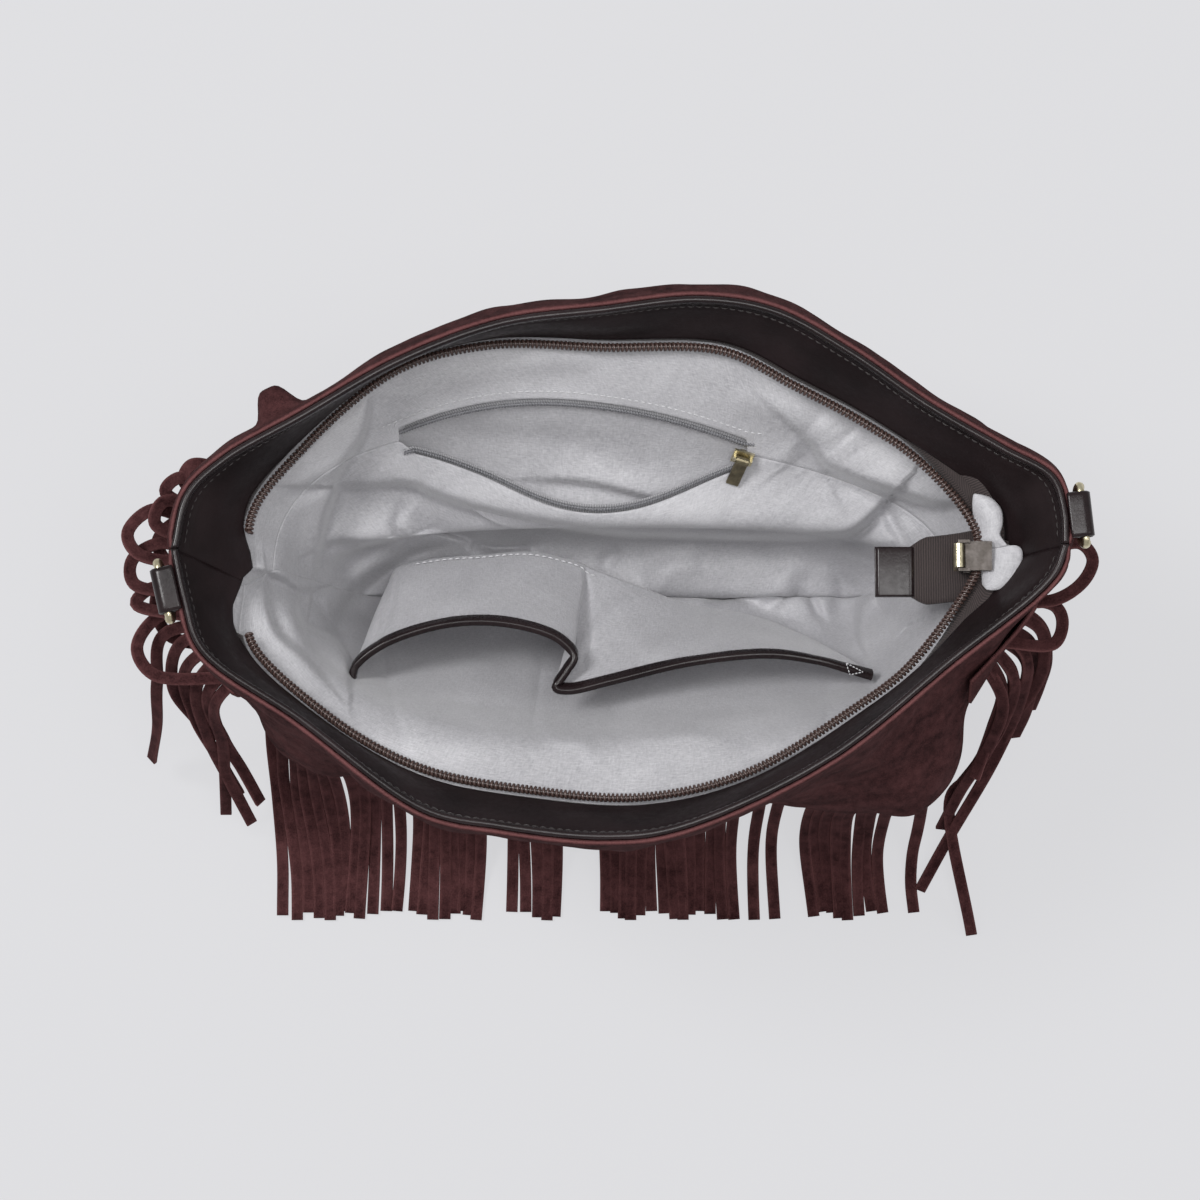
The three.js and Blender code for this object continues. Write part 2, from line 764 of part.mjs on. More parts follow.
const downLining = (s, z) =>
  onLining(s, z - heightStep, 0).sub(onLining(s, z + heightStep, 0)).normalize();

// A point beside an edge of the mouth: inward into the opening, lifted off the lining
function besidePocket(a, edge, side, inward, lift) {
  const s = pocketPlace(a);
  const z = edge(a);
  const down = downLining(s, z);
  return onLining(s, z, lift).addScaledVector(down, side * inward);
}

const pocketCutter = sheet(pocketColumns, pocketRows, (i, j, face) => {
  const a = mix(-pocketCutPast, 1 + pocketCutPast, i / pocketColumns);
  const z = mix(pocketUpper(a), pocketLower(a), j / pocketRows);
  return onLining(pocketPlace(a), z, face ? -pocketCutDepth : pocketCutDepth);
});
const pocketLayer = liningThickness + clothGap;
const pocketInset = pocketTapeWidth / 2;

function pocketTape(edge, side) {
  return sheet(pocketColumns, 1, (i, j, face) => {
    const inward = j ? pocketInset : -pocketInset;
    return besidePocket(i / pocketColumns, edge, side, inward, -pocketLayer - face * tapeThickness);
  });
}

function pocketCoil(edge, side) {
  const sections = Array.from({ length: pocketColumns + 1 }, (_, i) =>
    coilSection((across, off) => {
      const inward = pocketInset - pocketCoilRadius * (1 + across);
      const lift = touchGap - pocketLayer + pocketCoilRadius * (1 + off);
      return besidePocket(i / pocketColumns, edge, side, inward, lift);
    }),
  );
  return loft(sections);
}

// Bag of the zip pocket: it hangs behind the mouth from the upper tape and comes back to the lower
function pocketBag() {
  const behind = pocketLayer + tapeThickness + touchGap;
  return sheet(pocketColumns, pocketRows, (i, j, face) => {
    const a = i / pocketColumns;
    const full = Math.sqrt(Math.sin(Math.PI * mix(pocketBagEnd, 1 - pocketBagEnd, a)));
    const top = pocketUpper(a) + pocketInset / 2;
    const bottom = pocketLower(a) - pocketInset - pocketBagBelow * full;
    const share = j / pocketRows;
    const bow = Math.sin(Math.PI * Math.min(1, share / pocketBowShare));
    const floor = behind + pocketBagDepth * full * bow;
    return onLining(pocketPlace(a), mix(top, bottom, share), -floor - face * liningThickness);
  });
}

// Slider of the zip pocket, over the right end of its mouth: X runs along the mouth, Y off the lining
const pocketCoilTop = touchGap - pocketLayer + 2 * pocketCoilRadius;
const pocketPlateFoot = pocketCoilTop + touchGap;
const pullBarHeight = pocketPlateFoot + pocketSliderPlate + pullEyeRadius + pullEyeWall + touchGap;

function pocketSlider() {
  const halfLength = pocketSliderLength / 2;
  const halfWidth = pocketSliderWidth / 2;
  const plateTopHeight = pocketPlateFoot + pocketSliderPlate;
  const halfPost = pocketPostLength / 2;
  const depth = pocketPostWidth / 2;
  const postTop = pocketPlateFoot + castingOverlap;
  const armX = pullTabWidth / 2 + armSideGap;
  const bar = cylinderAlongY(pullBarRadius, 2 * armX + pocketArm).rotateZ(Math.PI / 2);
  const parts = [
    box(-halfLength, halfLength, pocketPlateFoot, plateTopHeight, -halfWidth, halfWidth),
    box(-halfPost, halfPost, -pocketLayer - tapeThickness, postTop, -depth, depth),
    bar.translate(0, pullBarHeight, 0),
  ];
  for (const side of [-1, 1]) {
    const x = side * armX;
    const top = pullBarHeight + pullBarRadius;
    parts.push(box(x - pocketArm / 2, x + pocketArm / 2, postTop, top, -depth, depth));
  }
  return join(parts);
}

// Flat pull lying down the slope of the lining, with an eye round the slider's bar
function pocketPull() {
  const half = pullTabWidth / 2;
  const depth = pullTabThickness / 2;
  const flat = box(-half, half, -depth, depth, -pullTabLength, 0);
  const eye = cylinderAlongY(pullEyeRadius + pullEyeWall, pullTabWidth).rotateZ(Math.PI / 2);
  const bore = cylinderAlongY(pullEyeRadius, 2 * pullTabWidth).rotateZ(Math.PI / 2);
  return cut(join([flat, eye]), bore);
}

// Slip pocket: a panel standing off the front lining in two bellies with a sewn line between
const slipHeight = bodyHeight - slipDrop;
const slipBottom = slipHeight - slipDepth;
const shareBetween = (x, from, to) => THREE.MathUtils.clamp((x - from) / (to - from), 0, 1);
const archBetween = (x, from, to) => Math.sin(Math.PI * shareBetween(x, from, to));

function slipStandoff(s, z) {
  const left = slipGapeLeft * archBetween(s, slipLeft, slipDivider);
  const right = slipGapeRight * archBetween(s, slipDivider, slipRight);
  const share = shareBetween(z, slipBottom, slipHeight);
  return mix(slipStandBottom, slipStandTop, share) + (left + right) * share ** slipGapePower;
}

const slipColumns = columnsBetween(slipLeft, slipRight);

function onSlip(s, z, lift) {
  return onLining(s, z, slipStandoff(s, z) + lift);
}

const slipRows = 4;
const slipRow = (j) => mix(slipHeight, slipBottom, j / slipRows);
const slipPanel = sheet(slipColumns.length - 1, slipRows, (i, j, face) =>
  onSlip(slipColumns[i], slipRow(j), -face * liningThickness),
);

// A strip along the top of the slip pocket, from one distance down its face to another
function slipStrip(from, to, front, back) {
  return sheet(slipColumns.length - 1, 1, (i, j, face) => {
    const s = slipColumns[i];
    const lift = face ? -back : front;
    const top = onSlip(s, slipRow(0), lift);
    const down = onSlip(s, slipRow(1), lift).sub(top).normalize();
    return top.addScaledVector(down, j ? to : from);
  });
}

// Leather edge folded over the top of the slip pocket
const slipWrap = (slipBindingThickness - liningThickness) / 2;
const slipBinding = cut(
  slipStrip(-slipWrap, slipBindingHeight, slipWrap, liningThickness + slipWrap),
  slipStrip(-touchGap, 2 * slipBindingHeight, clothGap, liningThickness + clothGap),
);

const ringSteps = 20;

// D ring: a straight bar through the tab and a rounded bow, hanging from the bar's centre line
function ringShape() {
  const half = ringWidth / 2 - ringWire;
  const bow = ringDrop - 2 * ringWire - ringCorner;
  const path = new THREE.Path().moveTo(ringCorner - half, 0).lineTo(half - ringCorner, 0);
  path.absarc(half - ringCorner, -ringCorner, ringCorner, Math.PI / 2, 0, true);
  path.absellipse(0, -ringCorner, half, bow, 0, -Math.PI, true);
  path.absarc(ringCorner - half, -ringCorner, ringCorner, Math.PI, Math.PI / 2, true);
  const sections = Array.from({ length: ringSteps }, (_, i) => {
    const pointAt = (step) => path.getPointAt(((step + ringSteps) % ringSteps) / ringSteps);
    const point = pointAt(i);
    const tangent = pointAt(i + 0.2).sub(pointAt(i - 0.2)).normalize();
    return [0, 1, 2, 3, 4, 5, 6, 7].map((k) => {
      const angle = (k * Math.PI) / 4;
      const across = ringWire * Math.cos(angle);
      return new THREE.Vector3(
        ringWire * Math.sin(angle),
        point.x - tangent.y * across,
        point.y + tangent.x * across,
      );
    });
  });
  return loft(sections, true);
}

// Leather tab: a roll round the bar and a tongue lying over the suede edge
const tabRoll = ringWire + tabBore + tabLeather;

function tabShape() {
  const tongue = tabRoll + touchGap + suedeEdgeOutset - bindingWidth / 2 - 2 * touchGap;
  const roll = new THREE.Shape().absarc(0, 0, tabRoll, 0, 2 * Math.PI);
  const strap = new THREE.Shape();
  strap.moveTo(-tongue, tabRoll - tabLeather).lineTo(0, tabRoll - tabLeather);
  strap.lineTo(0, tabRoll).lineTo(-tongue, tabRoll);
  const bore = new THREE.Shape().absarc(0, 0, ringWire + tabBore, 0, 2 * Math.PI);
  const extrude = (shape, length) =>
    new THREE.ExtrudeGeometry(shape, { depth: length, bevelEnabled: false, curveSegments: 10 })
      .translate(0, 0, -length / 2)
      .rotateX(Math.PI / 2);
  const whole = join([extrude(roll, tabWidth), extrude(strap, tabWidth)]);
  return cut(whole, extrude(bore, 2 * tabWidth));
}

// Front fringe: a strip between the front panels, with strands in uneven groups. Each group gives
// the places of its first and last strand on the strip, as a share of it, and of their ends in X
const strandGroups = [
  { count: 2, top: [0.02, 0.05], end: [-144.5, -138.6] },
  { count: 6, top: [0.09, 0.22], end: [-131.8, -109.6] },
  { count: 2, top: [0.25, 0.27], end: [-105, -100.3] },
  { count: 1, top: [0.29, 0.29], end: [-93.9, -93.9] },
  { count: 7, top: [0.31, 0.42], end: [-86.4, -59.3] },
  { count: 5, top: [0.44, 0.52], end: [-44.8, -25.9] },
  { count: 12, top: [0.55, 0.76], end: [-5.9, 49] },
  { count: 2, top: [0.785, 0.81], end: [60.1, 67.9] },
  { count: 7, top: [0.835, 0.945], end: [83.6, 112.9] },
  { count: 1, top: [0.965, 0.965], end: [127.4, 127.4] },
];

// Bends of a strand: the share of the way to its end, the distance off the wall, the share of its fall
const strandBends = [
  { share: 0, off: 2.5, fall: 0.38 },
  { share: 0.16, off: 4, fall: 0.72 },
  { share: 0.42, off: 2, fall: 0.906 },
  { share: 0.72, off: 0, fall: 0.987 },
];
const strandSteps = 5;

const corners = [[-1, -1], [1, -1], [1, 1], [-1, 1]];

function strand(share, endX, turn) {
  const s = mix(headerStart, headerEnd, share);
  const layer = -fringeLayer - strandThickness / 2;
  const top = wallAt(s, upperPanelEdge - strandTuck, layer);
  const out = faceNormal(wallFace, s, bellyHeight).setZ(0).normalize();
  const foot = strandThickness / 2 + strandFloorGap;
  const end = new THREE.Vector3(endX, strandEndY + strandEndSway * Math.sin(turn), foot);
  const bends = strandBends.map((bend) =>
    top
      .clone()
      .lerp(end, bend.share)
      .addScaledVector(out, bend.off)
      .setZ(mix(top.z, foot, bend.fall)),
  );
  const route = new THREE.CatmullRomCurve3([top, ...bends, end], false, "centripetal");
  const sections = Array.from({ length: strandSteps + 1 }, (_, i) => {
    const u = i / strandSteps;
    const tangent = route.getTangentAt(u);
    const across = out.clone().cross(up).lerp(new THREE.Vector3(-1, 0, 0), smooth(2 * u));
    across.addScaledVector(tangent, -across.dot(tangent)).normalize();
    const off = tangent.clone().cross(across);
    const point = route.getPointAt(u);
    return corners.map(([a, b]) =>
      point
        .clone()
        .addScaledVector(across, (a * strandWidth) / 2)
        .addScaledVector(off, (b * strandThickness) / 2),
    );
  });
  return loft(sections);
}

function frontFringe() {
  const header = wallPanel(
    [headerStart, headerEnd],
    upperPanelEdge + headerAbove,
    upperPanelEdge - headerBelow,
    at(-fringeLayer),
    at(-fringeLayer - strandThickness),
  );
  const strands = strandGroups.flatMap(({ count, top, end }) =>
    Array.from({ length: count }, (_, i) => {
      const a = count > 1 ? i / (count - 1) : 0;
      return strand(mix(...top, a), mix(...end, a), 5 * (i + end[0]));
    }),
  );
  return join([header, ...strands]);
}

// Side lacing: a sewn band with thongs looped through it and hanging strands. Each thong is a list
// of points, the first and last of them on the band where it is threaded
function thong({ points, steps }) {
  const route = new THREE.CatmullRomCurve3(
    points.map(([x, y, z]) => new THREE.Vector3(x, y, z)),
    false,
    "centripetal",
  );
  const sections = Array.from({ length: steps + 1 }, (_, i) => {
    const tangent = route.getTangentAt(i / steps);
    const across = tangent.clone().cross(up).normalize();
    const off = across.clone().cross(tangent);
    const point = route.getPointAt(i / steps);
    return corners.map(([a, b]) =>
      point
        .clone()
        .addScaledVector(across, (a * thongWidth) / 2)
        .addScaledVector(off, (b * thongThickness) / 2),
    );
  });
  return loft(sections);
}

const leftThongs = [
  {
    steps: 6,
    points: [[-150, 34, 180], [-166, 39, 190], [-163, 45, 192], [-146, 43, 180]],
  },
  {
    steps: 6,
    points: [[-154, 26, 180], [-173, 35, 190], [-168, 40, 192], [-150, 36, 178]],
  },
  {
    steps: 6,
    points: [[-156, 16, 178], [-177, 23, 188], [-174, 31, 190], [-154, 30, 176]],
  },
  {
    steps: 6,
    points: [[-157, 8, 178], [-184, 12, 184], [-188, 20, 184], [-178, 29, 184], [-156, 20, 176]],
  },
  {
    steps: 6,
    points: [[-157, 10, 172], [-176, 17, 176], [-187, 10, 178], [-186, 1, 178], [-157, -2, 172]],
  },
  {
    steps: 6,
    points: [[-156, -2, 172], [-180, 0, 172], [-186, -6, 172], [-155, -12, 170]],
  },
  {
    steps: 7,
    points: [[-154, -8, 168], [-178, -10, 164], [-187, -22, 160], [-181, -32, 158], [-148, -34, 164]],
  },
  {
    steps: 7,
    points: [[-154, -12, 166], [-176, -16, 158], [-184, -32, 120], [-190, -46, 70], [-198, -57, 22]],
  },
  {
    steps: 7,
    points: [[-150, -22, 166], [-164, -34, 150], [-166, -52, 100], [-161, -68, 60], [-155, -84, 26]],
  },
  {
    steps: 7,
    points: [[-147, -28, 166], [-160, -38, 150], [-159, -54, 100], [-155, -64, 66], [-150, -76, 40]],
  },
];

const rightThongs = [
  {
    steps: 9,
    points: [[156, 10, 178], [176, 16, 184], [181, 10, 184], [178, 2, 182], [168, -5, 180], [150, -6, 174]],
  },
  {
    steps: 8,
    points: [[152, -4, 172], [168, -7, 172], [171, -13, 170], [168, -21, 166], [146, -20, 166]],
  },
  {
    steps: 9,
    points: [[152, -6, 166], [163, -12, 158], [171, -22, 120], [173, -30, 80], [172, -38, 56]],
  },
  {
    steps: 9,
    points: [[148, -14, 166], [160, -18, 150], [167, -28, 110], [168, -40, 76], [166, -49, 50]],
  },
  {
    steps: 9,
    points: [
      [146, -18, 166], [158, -24, 150], [163, -34, 110], [156, -60, 60],
      [140, -92, 20], [130, -112, 4],
    ],
  },
  {
    steps: 9,
    points: [
      [144, -22, 166], [154, -30, 146], [156, -44, 100], [146, -66, 60],
      [140, -76, 34], [152, -131, 3],
    ],
  },
  {
    steps: 9,
    points: [[142, -26, 166], [150, -36, 146], [150, -50, 110], [148, -60, 90], [146, -68, 80]],
  },
];

function sideLacing([start, end], thongs) {
  const top = lacingHeight + lacingBand / 2;
  const band = wallPanel([start, end], top, top - lacingBand, at(touchGap + suedeThickness), at(touchGap));
  const keepOut = wallPanel(
    [start - lacingReach, end + lacingReach],
    rimTop,
    lacingKeepOutFoot,
    at(0.8 * touchGap),
    at(-lacingKeepOutDepth),
  );
  return cut(join([band, ...thongs.map(thong)]), keepOut);
}

// Assembly
const bag = new THREE.Group();

function add(name, geometry, material, parent = bag) {
  const mesh = new THREE.Mesh(geometry, material.clone());
  mesh.name = name;
  parent.add(mesh);
  return mesh;
}

add("front_upper_panel", upperFront, suede);
add("front_lower_panel", lowerFront, suede);
add("back_panel", backPanel, suede);
add("base_panel", basePanel, suede);
add("base_board", baseBoard, board);
add("facing_front", facing(frontSpan), leather);
add("facing_back", facing(backSpan), leather);
add("edge_binding_front", binding(frontSpan), leather);
add("edge_binding_back", binding(backSpan), leather);
add("zip_tape_front", zipTape(frontZip, -1), tapeCloth);
add("zip_tape_back", zipTape(backZip, 1), tapeCloth);
add("zip_coil_front", coil(frontZip, -1), nylon);
add("zip_coil_back", coil(backZip, 1), nylon);

const zipEnd = new THREE.Group();
zipEnd.position.copy(sliderHome);
bag.add(zipEnd);
add("zip_slider", sliderShape(), steel, zipEnd);
add("zip_puller", pullerShape(), brass, zipEnd).position.set(barX, 0, barZ);
add("zip_tail", tailShape(), tapeCloth, zipEnd);
add("zip_end_tab", endTabShape(), leather, zipEnd);

add("lining_front", lining(frontSpan), satin);
add("lining_back", cut(lining(backSpan), pocketCutter), satin);
add("pocket_tape_upper", pocketTape(pocketUpper, 1), greyTape);
add("pocket_tape_lower", pocketTape(pocketLower, -1), greyTape);
add("pocket_coil_upper", pocketCoil(pocketUpper, 1), greyNylon);
add("pocket_coil_lower", pocketCoil(pocketLower, -1), greyNylon);
add("zip_pocket_bag", pocketBag(), satin);

const pocketEnd = new THREE.Group();
const pocketOff = liningNormal(pocketRight, pocketRightHeight);
const pocketUp = downLining(pocketRight, pocketRightHeight).negate();
const pocketAlong = pocketOff.cross(pocketUp).normalize();
const pocketTurn = new THREE.Matrix4().makeBasis(pocketAlong, pocketUp.clone().cross(pocketAlong), pocketUp);
const pocketSliderHeight = pocketMiddle(pocketSliderShare);
pocketEnd.applyMatrix4(pocketTurn);
pocketEnd.position.copy(onLining(pocketPlace(pocketSliderShare), pocketSliderHeight, 0));
bag.add(pocketEnd);
add("pocket_zip_slider", pocketSlider(), brass, pocketEnd);
add("pocket_pull_tab", pocketPull(), brass, pocketEnd).position.set(0, pullBarHeight, 0);

add("slip_pocket_panel", slipPanel, satin);
add("slip_pocket_binding", slipBinding, leather);

for (const [side, place] of [["left", leftTabPlace], ["right", rightTabPlace]]) {
  const out = outwardAt(rim, place);
  const holder = new THREE.Group();
  holder.position.copy(rim(place)).addScaledVector(out, suedeEdgeOutset + touchGap + tabRoll);
  holder.position.setZ(wallTop(place) + touchGap + tabLeather - tabRoll);
  holder.rotation.z = Math.atan2(out.y, out.x);
  bag.add(holder);
  add(`ring_tab_${side}`, tabShape(), leather, holder);
  add(`ring_${side}`, ringShape(), brass, holder);
}

add("front_fringe", frontFringe(), suede);
add("lacing_left", sideLacing([-lacingReach, lacingReach], leftThongs), suede);
const rightLacing = [0.5 - lacingReach, 0.5 + lacingBackShare * lacingReach];
add("lacing_right", sideLacing(rightLacing, rightThongs), suede);

export default bag;
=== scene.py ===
"""Dressed look of a fringed suede bag that stands open, seen from almost straight above.

The bag's form repeats the sizes of its solids in millimetres. Every surface is worked out as a
whole array on a grid or along a route, and turned into metres when its mesh is made.
"""

import logging
import math
from dataclasses import dataclass, field
from enum import Enum
from typing import Callable, Sequence

import bpy
import numpy as np
from mathutils import Matrix


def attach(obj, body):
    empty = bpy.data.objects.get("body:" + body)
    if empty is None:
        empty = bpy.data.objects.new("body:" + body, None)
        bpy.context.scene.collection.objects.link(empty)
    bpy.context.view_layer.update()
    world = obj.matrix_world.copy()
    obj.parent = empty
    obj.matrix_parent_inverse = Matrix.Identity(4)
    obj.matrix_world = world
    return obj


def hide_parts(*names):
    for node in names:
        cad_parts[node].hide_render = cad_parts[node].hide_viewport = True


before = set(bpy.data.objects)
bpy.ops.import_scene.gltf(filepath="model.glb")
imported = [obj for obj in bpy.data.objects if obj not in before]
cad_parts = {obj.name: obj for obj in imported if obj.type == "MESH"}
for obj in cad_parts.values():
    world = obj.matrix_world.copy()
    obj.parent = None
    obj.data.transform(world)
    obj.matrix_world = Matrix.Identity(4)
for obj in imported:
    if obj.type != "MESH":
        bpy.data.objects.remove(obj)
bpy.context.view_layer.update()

Array = np.ndarray
METRES = 0.001
log = logging.getLogger("bag")


# Lines and surfaces


def unit(vectors: Array) -> Array:
    """Vectors of length one along the last axis.

    Args:
        vectors: any array of vectors.

    Returns:
        Each vector divided by its own length.
    """
    return vectors / np.maximum(np.linalg.norm(vectors, axis=-1, keepdims=True), 1e-12)


def smooth_step(x: Array) -> Array:
    """3x² - 2x³ with x held between 0 and 1."""
    t = np.clip(x, 0.0, 1.0)
    return t * t * (3 - 2 * t)


def mix(a: Array, b: Array, share: Array) -> Array:
    """a where share is 0 and b where it is 1, in proportion between."""
    return a + (b - a) * share


def spline(points: Sequence[Sequence[float]], per_span: int = 24) -> Array:
    """Dense points of a centripetal spline through the points given.

    Each span is a cubic with the end slopes that knots spaced by the root of the chord give.

    Args:
        points: corner points, in order.
        per_span: points made in each span.

    Returns:
        The dense line, one row for each point.
    """
    p = np.asarray(points, float)
    p = np.vstack([2 * p[0] - p[1], p, 2 * p[-1] - p[-2]])
    a, b, c, d = p[:-3, None], p[1:-2, None], p[2:-1, None], p[3:, None]
    before, within, after = (
        np.sqrt(np.linalg.norm(q - r, axis=-1, keepdims=True)) + 1e-9 for q, r in ((b, a), (c, b), (d, c))
    )
    start = ((b - a) / before - (c - a) / (before + within) + (c - b) / within) * within
    end = ((c - b) / within - (d - b) / (within + after) + (d - c) / after) * within
    t = np.linspace(0, 1, per_span, endpoint=False)[None, :, None]
    line = b * (2 * t**3 - 3 * t**2 + 1) + start * (t**3 - 2 * t**2 + t)
    line = line + c * (3 * t**2 - 2 * t**3) + end * (t**3 - t**2)
    return np.vstack([line.reshape(-1, p.shape[1]), p[-2]])


@dataclass
class Route:
    """A line read by the share of its length."""

    line: Array

    def __post_init__(self) -> None:
        """Adds up the length from the start to each point."""
        steps = np.linalg.norm(np.diff(self.line, axis=0), axis=1)
        self.reach = np.concatenate([[0.0], np.cumsum(steps)])

    @property
    def length(self) -> float:
        """Whole length of the line."""
        return float(self.reach[-1])

    def at(self, share: Array) -> Array:
        """Points at shares of the length, read straight between the line's own points."""
        x = np.clip(share, 0, 1) * self.length
        return np.stack([np.interp(x, self.reach, column) for column in self.line.T], -1)

    def tangent(self, share: Array, step: float = 0.004) -> Array:
        """Unit direction at shares of the length, from two near points."""
        return unit(self.at(np.asarray(share) + step) - self.at(np.asarray(share) - step))


@dataclass
class Ring:
    """A closed line round the bag: s is 0 at the left seam, 0.5 at the right one, by the front first."""

    front: Route
    back: Route

    def at(self, s: Array) -> Array:
        """Points at places s, in the plane Z = 0."""
        turn = np.asarray(s) - np.floor(s)
        flat = np.where((turn < 0.5)[..., None], self.front.at(2 * turn), self.back.at(2 * turn - 1))
        return np.concatenate([flat[..., :2], np.zeros_like(flat[..., :1])], -1)

    def outward(self, s: Array) -> Array:
        """Unit vector out of the ring, square to it in its plane."""
        step = self.at(np.asarray(s) + 0.004) - self.at(np.asarray(s) - 0.004)
        return unit(np.stack([step[..., 1], -step[..., 0], np.zeros(step.shape[:-1])], -1))


def through_heights(levels: Array, z: Array) -> Array:
    """Smooth line through points of falling height, read at the heights z.

    Each span is a cubic whose slope at a level is that between the levels beside it.

    Args:
        levels: points, level first, then the shape of z, then X, Y, Z.
        z: heights to read.

    Returns:
        Points at those heights.
    """
    heights = levels[..., 2]
    row = (z[None] < heights[1:-1]).sum(0)
    before = np.concatenate([levels[:1], levels[:-1]])
    after = np.concatenate([levels[1:], levels[-1:]])
    slopes = (after - before) / (after[..., 2] - before[..., 2])[..., None]

    def pick(values: Array, offset: int) -> Array:
        """Values of the level above the height, or of the one below it."""
        index = np.broadcast_to((row + offset)[None, ..., None], (1, *z.shape, 3))
        return np.take_along_axis(values, index, 0)[0]

    upper, lower = pick(levels, 0), pick(levels, 1)
    span = (lower[..., 2] - upper[..., 2])[..., None]
    t = (z[..., None] - upper[..., 2:]) / span
    point = upper * (2 * t**3 - 3 * t**2 + 1) + pick(slopes, 0) * (t**3 - 2 * t**2 + t) * span
    point = point + lower * (3 * t**2 - 2 * t**3) + pick(slopes, 1) * (t**3 - t**2) * span
    point[..., 2] = z
    return point


def grid(start: float, end: float, count: int) -> Array:
    """Evenly spaced places from start to end."""
    return np.linspace(start, end, count)


# Form of the bag


@dataclass
class BagForm:
    """Outlines and walls that all pieces share, in millimetres."""

    mouth: tuple[float, float] = (326.0, 196.0)
    height: float = 240.0
    tip_rise: float = 4.0
    edge_outset: float = 3.3
    edge_drop: float = 1.2
    shoulder_drop: float = 35.0
    shoulder_swell: float = 8.0
    waist_height: float = 155.0
    belly: tuple[float, float, float, float] = (284.0, 152.0, 30.0, 100.0)
    lower_height: float = 45.0
    lower_inset: float = 5.0
    base: tuple[float, float, float] = (282.0, 114.0, 26.0)
    turn: float = -4.0
    wall_bottom: float = 2.7
    binding: tuple[float, float, float] = (2.6, 4.8, 0.6)
    facing_drop: float = 27.0
    facing_thickness: float = 1.2
    cloth_gap: float = 0.6
    tape_thickness: float = 0.8
    coil_radius: float = 1.7
    coil_reach: float = 2.6
    slider_inset: float = 16.5
    zip_spread: float = 75.0
    coil_stop: float = 4.0
    lining_end_y: float = 5.0

    def __post_init__(self) -> None:
        """Makes the rings at each level."""
        self.rim = Ring(
            self.mouth_line(
                [
                    (-1, 0.07), (-0.975, -0.12), (-0.935, -0.306), (-0.72, -0.56), (-0.437, -0.9),
                    (-0.27, -0.96)
                ]
                + [(-0.043, -1), (0.123, -0.97), (0.46, -0.715), (0.74, -0.347), (0.97, -0.03), (1, 0.087)]
            ),
            self.mouth_line(
                [(1, 0.087), (0.997, 0.214), (0.972, 0.337), (0.86, 0.45), (0.69, 0.62), (0.523, 0.816)]
                + [(0.35, 0.975), (0.184, 1.02), (-0.043, 0.98), (-0.27, 0.93), (-0.5, 0.786), (-0.724, 0.57)]
                + [(-0.89, 0.408), (-0.97, 0.275), (-1, 0.07)]
            ),
        )
        self.facing_edge = Ring(
            self.mouth_line(
                [
                    (-0.865, -0.02), (-0.862, -0.25), (-0.69, -0.53), (-0.45, -0.76), (-0.2, -0.845),
                    (0.06, -0.87)
                ]
                + [(0.3, -0.77), (0.575, -0.49), (0.685, -0.345), (0.815, -0.12), (0.915, 0.07)]
            ),
            self.mouth_line(
                [(0.915, 0.07), (0.86, 0.27), (0.6, 0.59), (0.42, 0.76), (0.25, 0.9), (-0.04, 0.915)]
                + [(-0.3, 0.915), (-0.515, 0.81), (-0.745, 0.5), (-0.862, 0.25), (-0.865, -0.02)]
            ),
        )
        length, depth, corner, _ = self.belly
        inset = self.lower_inset
        self.belly_ring = self.rounded_ring(length, depth, corner)
        self.lower_ring = self.rounded_ring(length - inset, depth - 2 * inset, corner)
        self.base_ring = self.rounded_ring(*self.base)
        lobes = [
            (190, -130, 139, -64, 69, 0.85),
            (168, -124, 129, -53, 47, 0.8),
            (150, -118, 120, -45, 28, 0.75),
            (128, -112, 112, -31, 29, 0.7),
            (108, -106, 105, -14, 20, 0.65),
            (95, -100, 98, 4.2, 5.8, 0.6),
        ]
        self.lining_rings = [(z, self.lobe(*sizes)) for z, *sizes in lobes]
        self.half_round = self.mouth[0] + self.mouth[1] / 2

    def mouth_line(self, shares: Sequence[tuple[float, float]]) -> Route:
        """Spline through points given in shares of half the mouth's length and depth."""
        return Route(spline(np.array(shares) * np.array(self.mouth) / 2, 60))

    def rounded_ring(self, length: float, depth: float, corner: float) -> Ring:
        """Rectangle with round corners, turned a little about the middle.

        Args:
            length: its size along X.
            depth: its size along Y.
            corner: radius of its corners.

        Returns:
            The ring, its front half first.
        """
        x, y = length / 2, depth / 2
        quarter = np.linspace(0, np.pi / 2, 24)
        turn = math.radians(self.turn)
        spin = np.array([[math.cos(turn), math.sin(turn)], [-math.sin(turn), math.cos(turn)]])

        def arc(cx: float, cy: float, start: float) -> Array:
            """Points of a quarter turn about a corner's centre."""
            angle = start + quarter
            return np.stack([cx + corner * np.cos(angle), cy + corner * np.sin(angle)], 1)

        front = [
            [[-x, 0]], arc(corner - x, corner - y, np.pi), arc(x - corner, corner - y, 1.5 * np.pi), [[x, 0]]
        ]
        back = [[[x, 0]], arc(x - corner, y - corner, 0), arc(corner - x, y - corner, np.pi / 2), [[-x, 0]]]
        return Ring(Route(np.vstack(front) @ spin), Route(np.vstack(back) @ spin))

    def lobe(self, left: float, right: float, front: float, back: float, power: float) -> Ring:
        """Soft oval of the lining at one level.

        The share across is the signed power of the cosine, and the depth the power of the sine.

        Args:
            left: its end in -X.
            right: its end in +X.
            front: its depth towards the front.
            back: its depth towards the back.
            power: power of the sine and cosine; the smaller, the boxier.

        Returns:
            The ring.
        """

        def half(depth: float, start: float) -> Route:
            """One side of the oval."""
            angle = start + np.linspace(0, np.pi, 25)
            x = np.sign(np.cos(angle)) * np.abs(np.cos(angle)) ** power
            y = np.abs(np.sin(angle)) ** power
            return Route(
                spline(np.stack([mix(left, right, (x + 1) / 2), mix(self.lining_end_y, depth, y)], 1), 8)
            )

        return Ring(half(front, np.pi), half(back, 0.0))

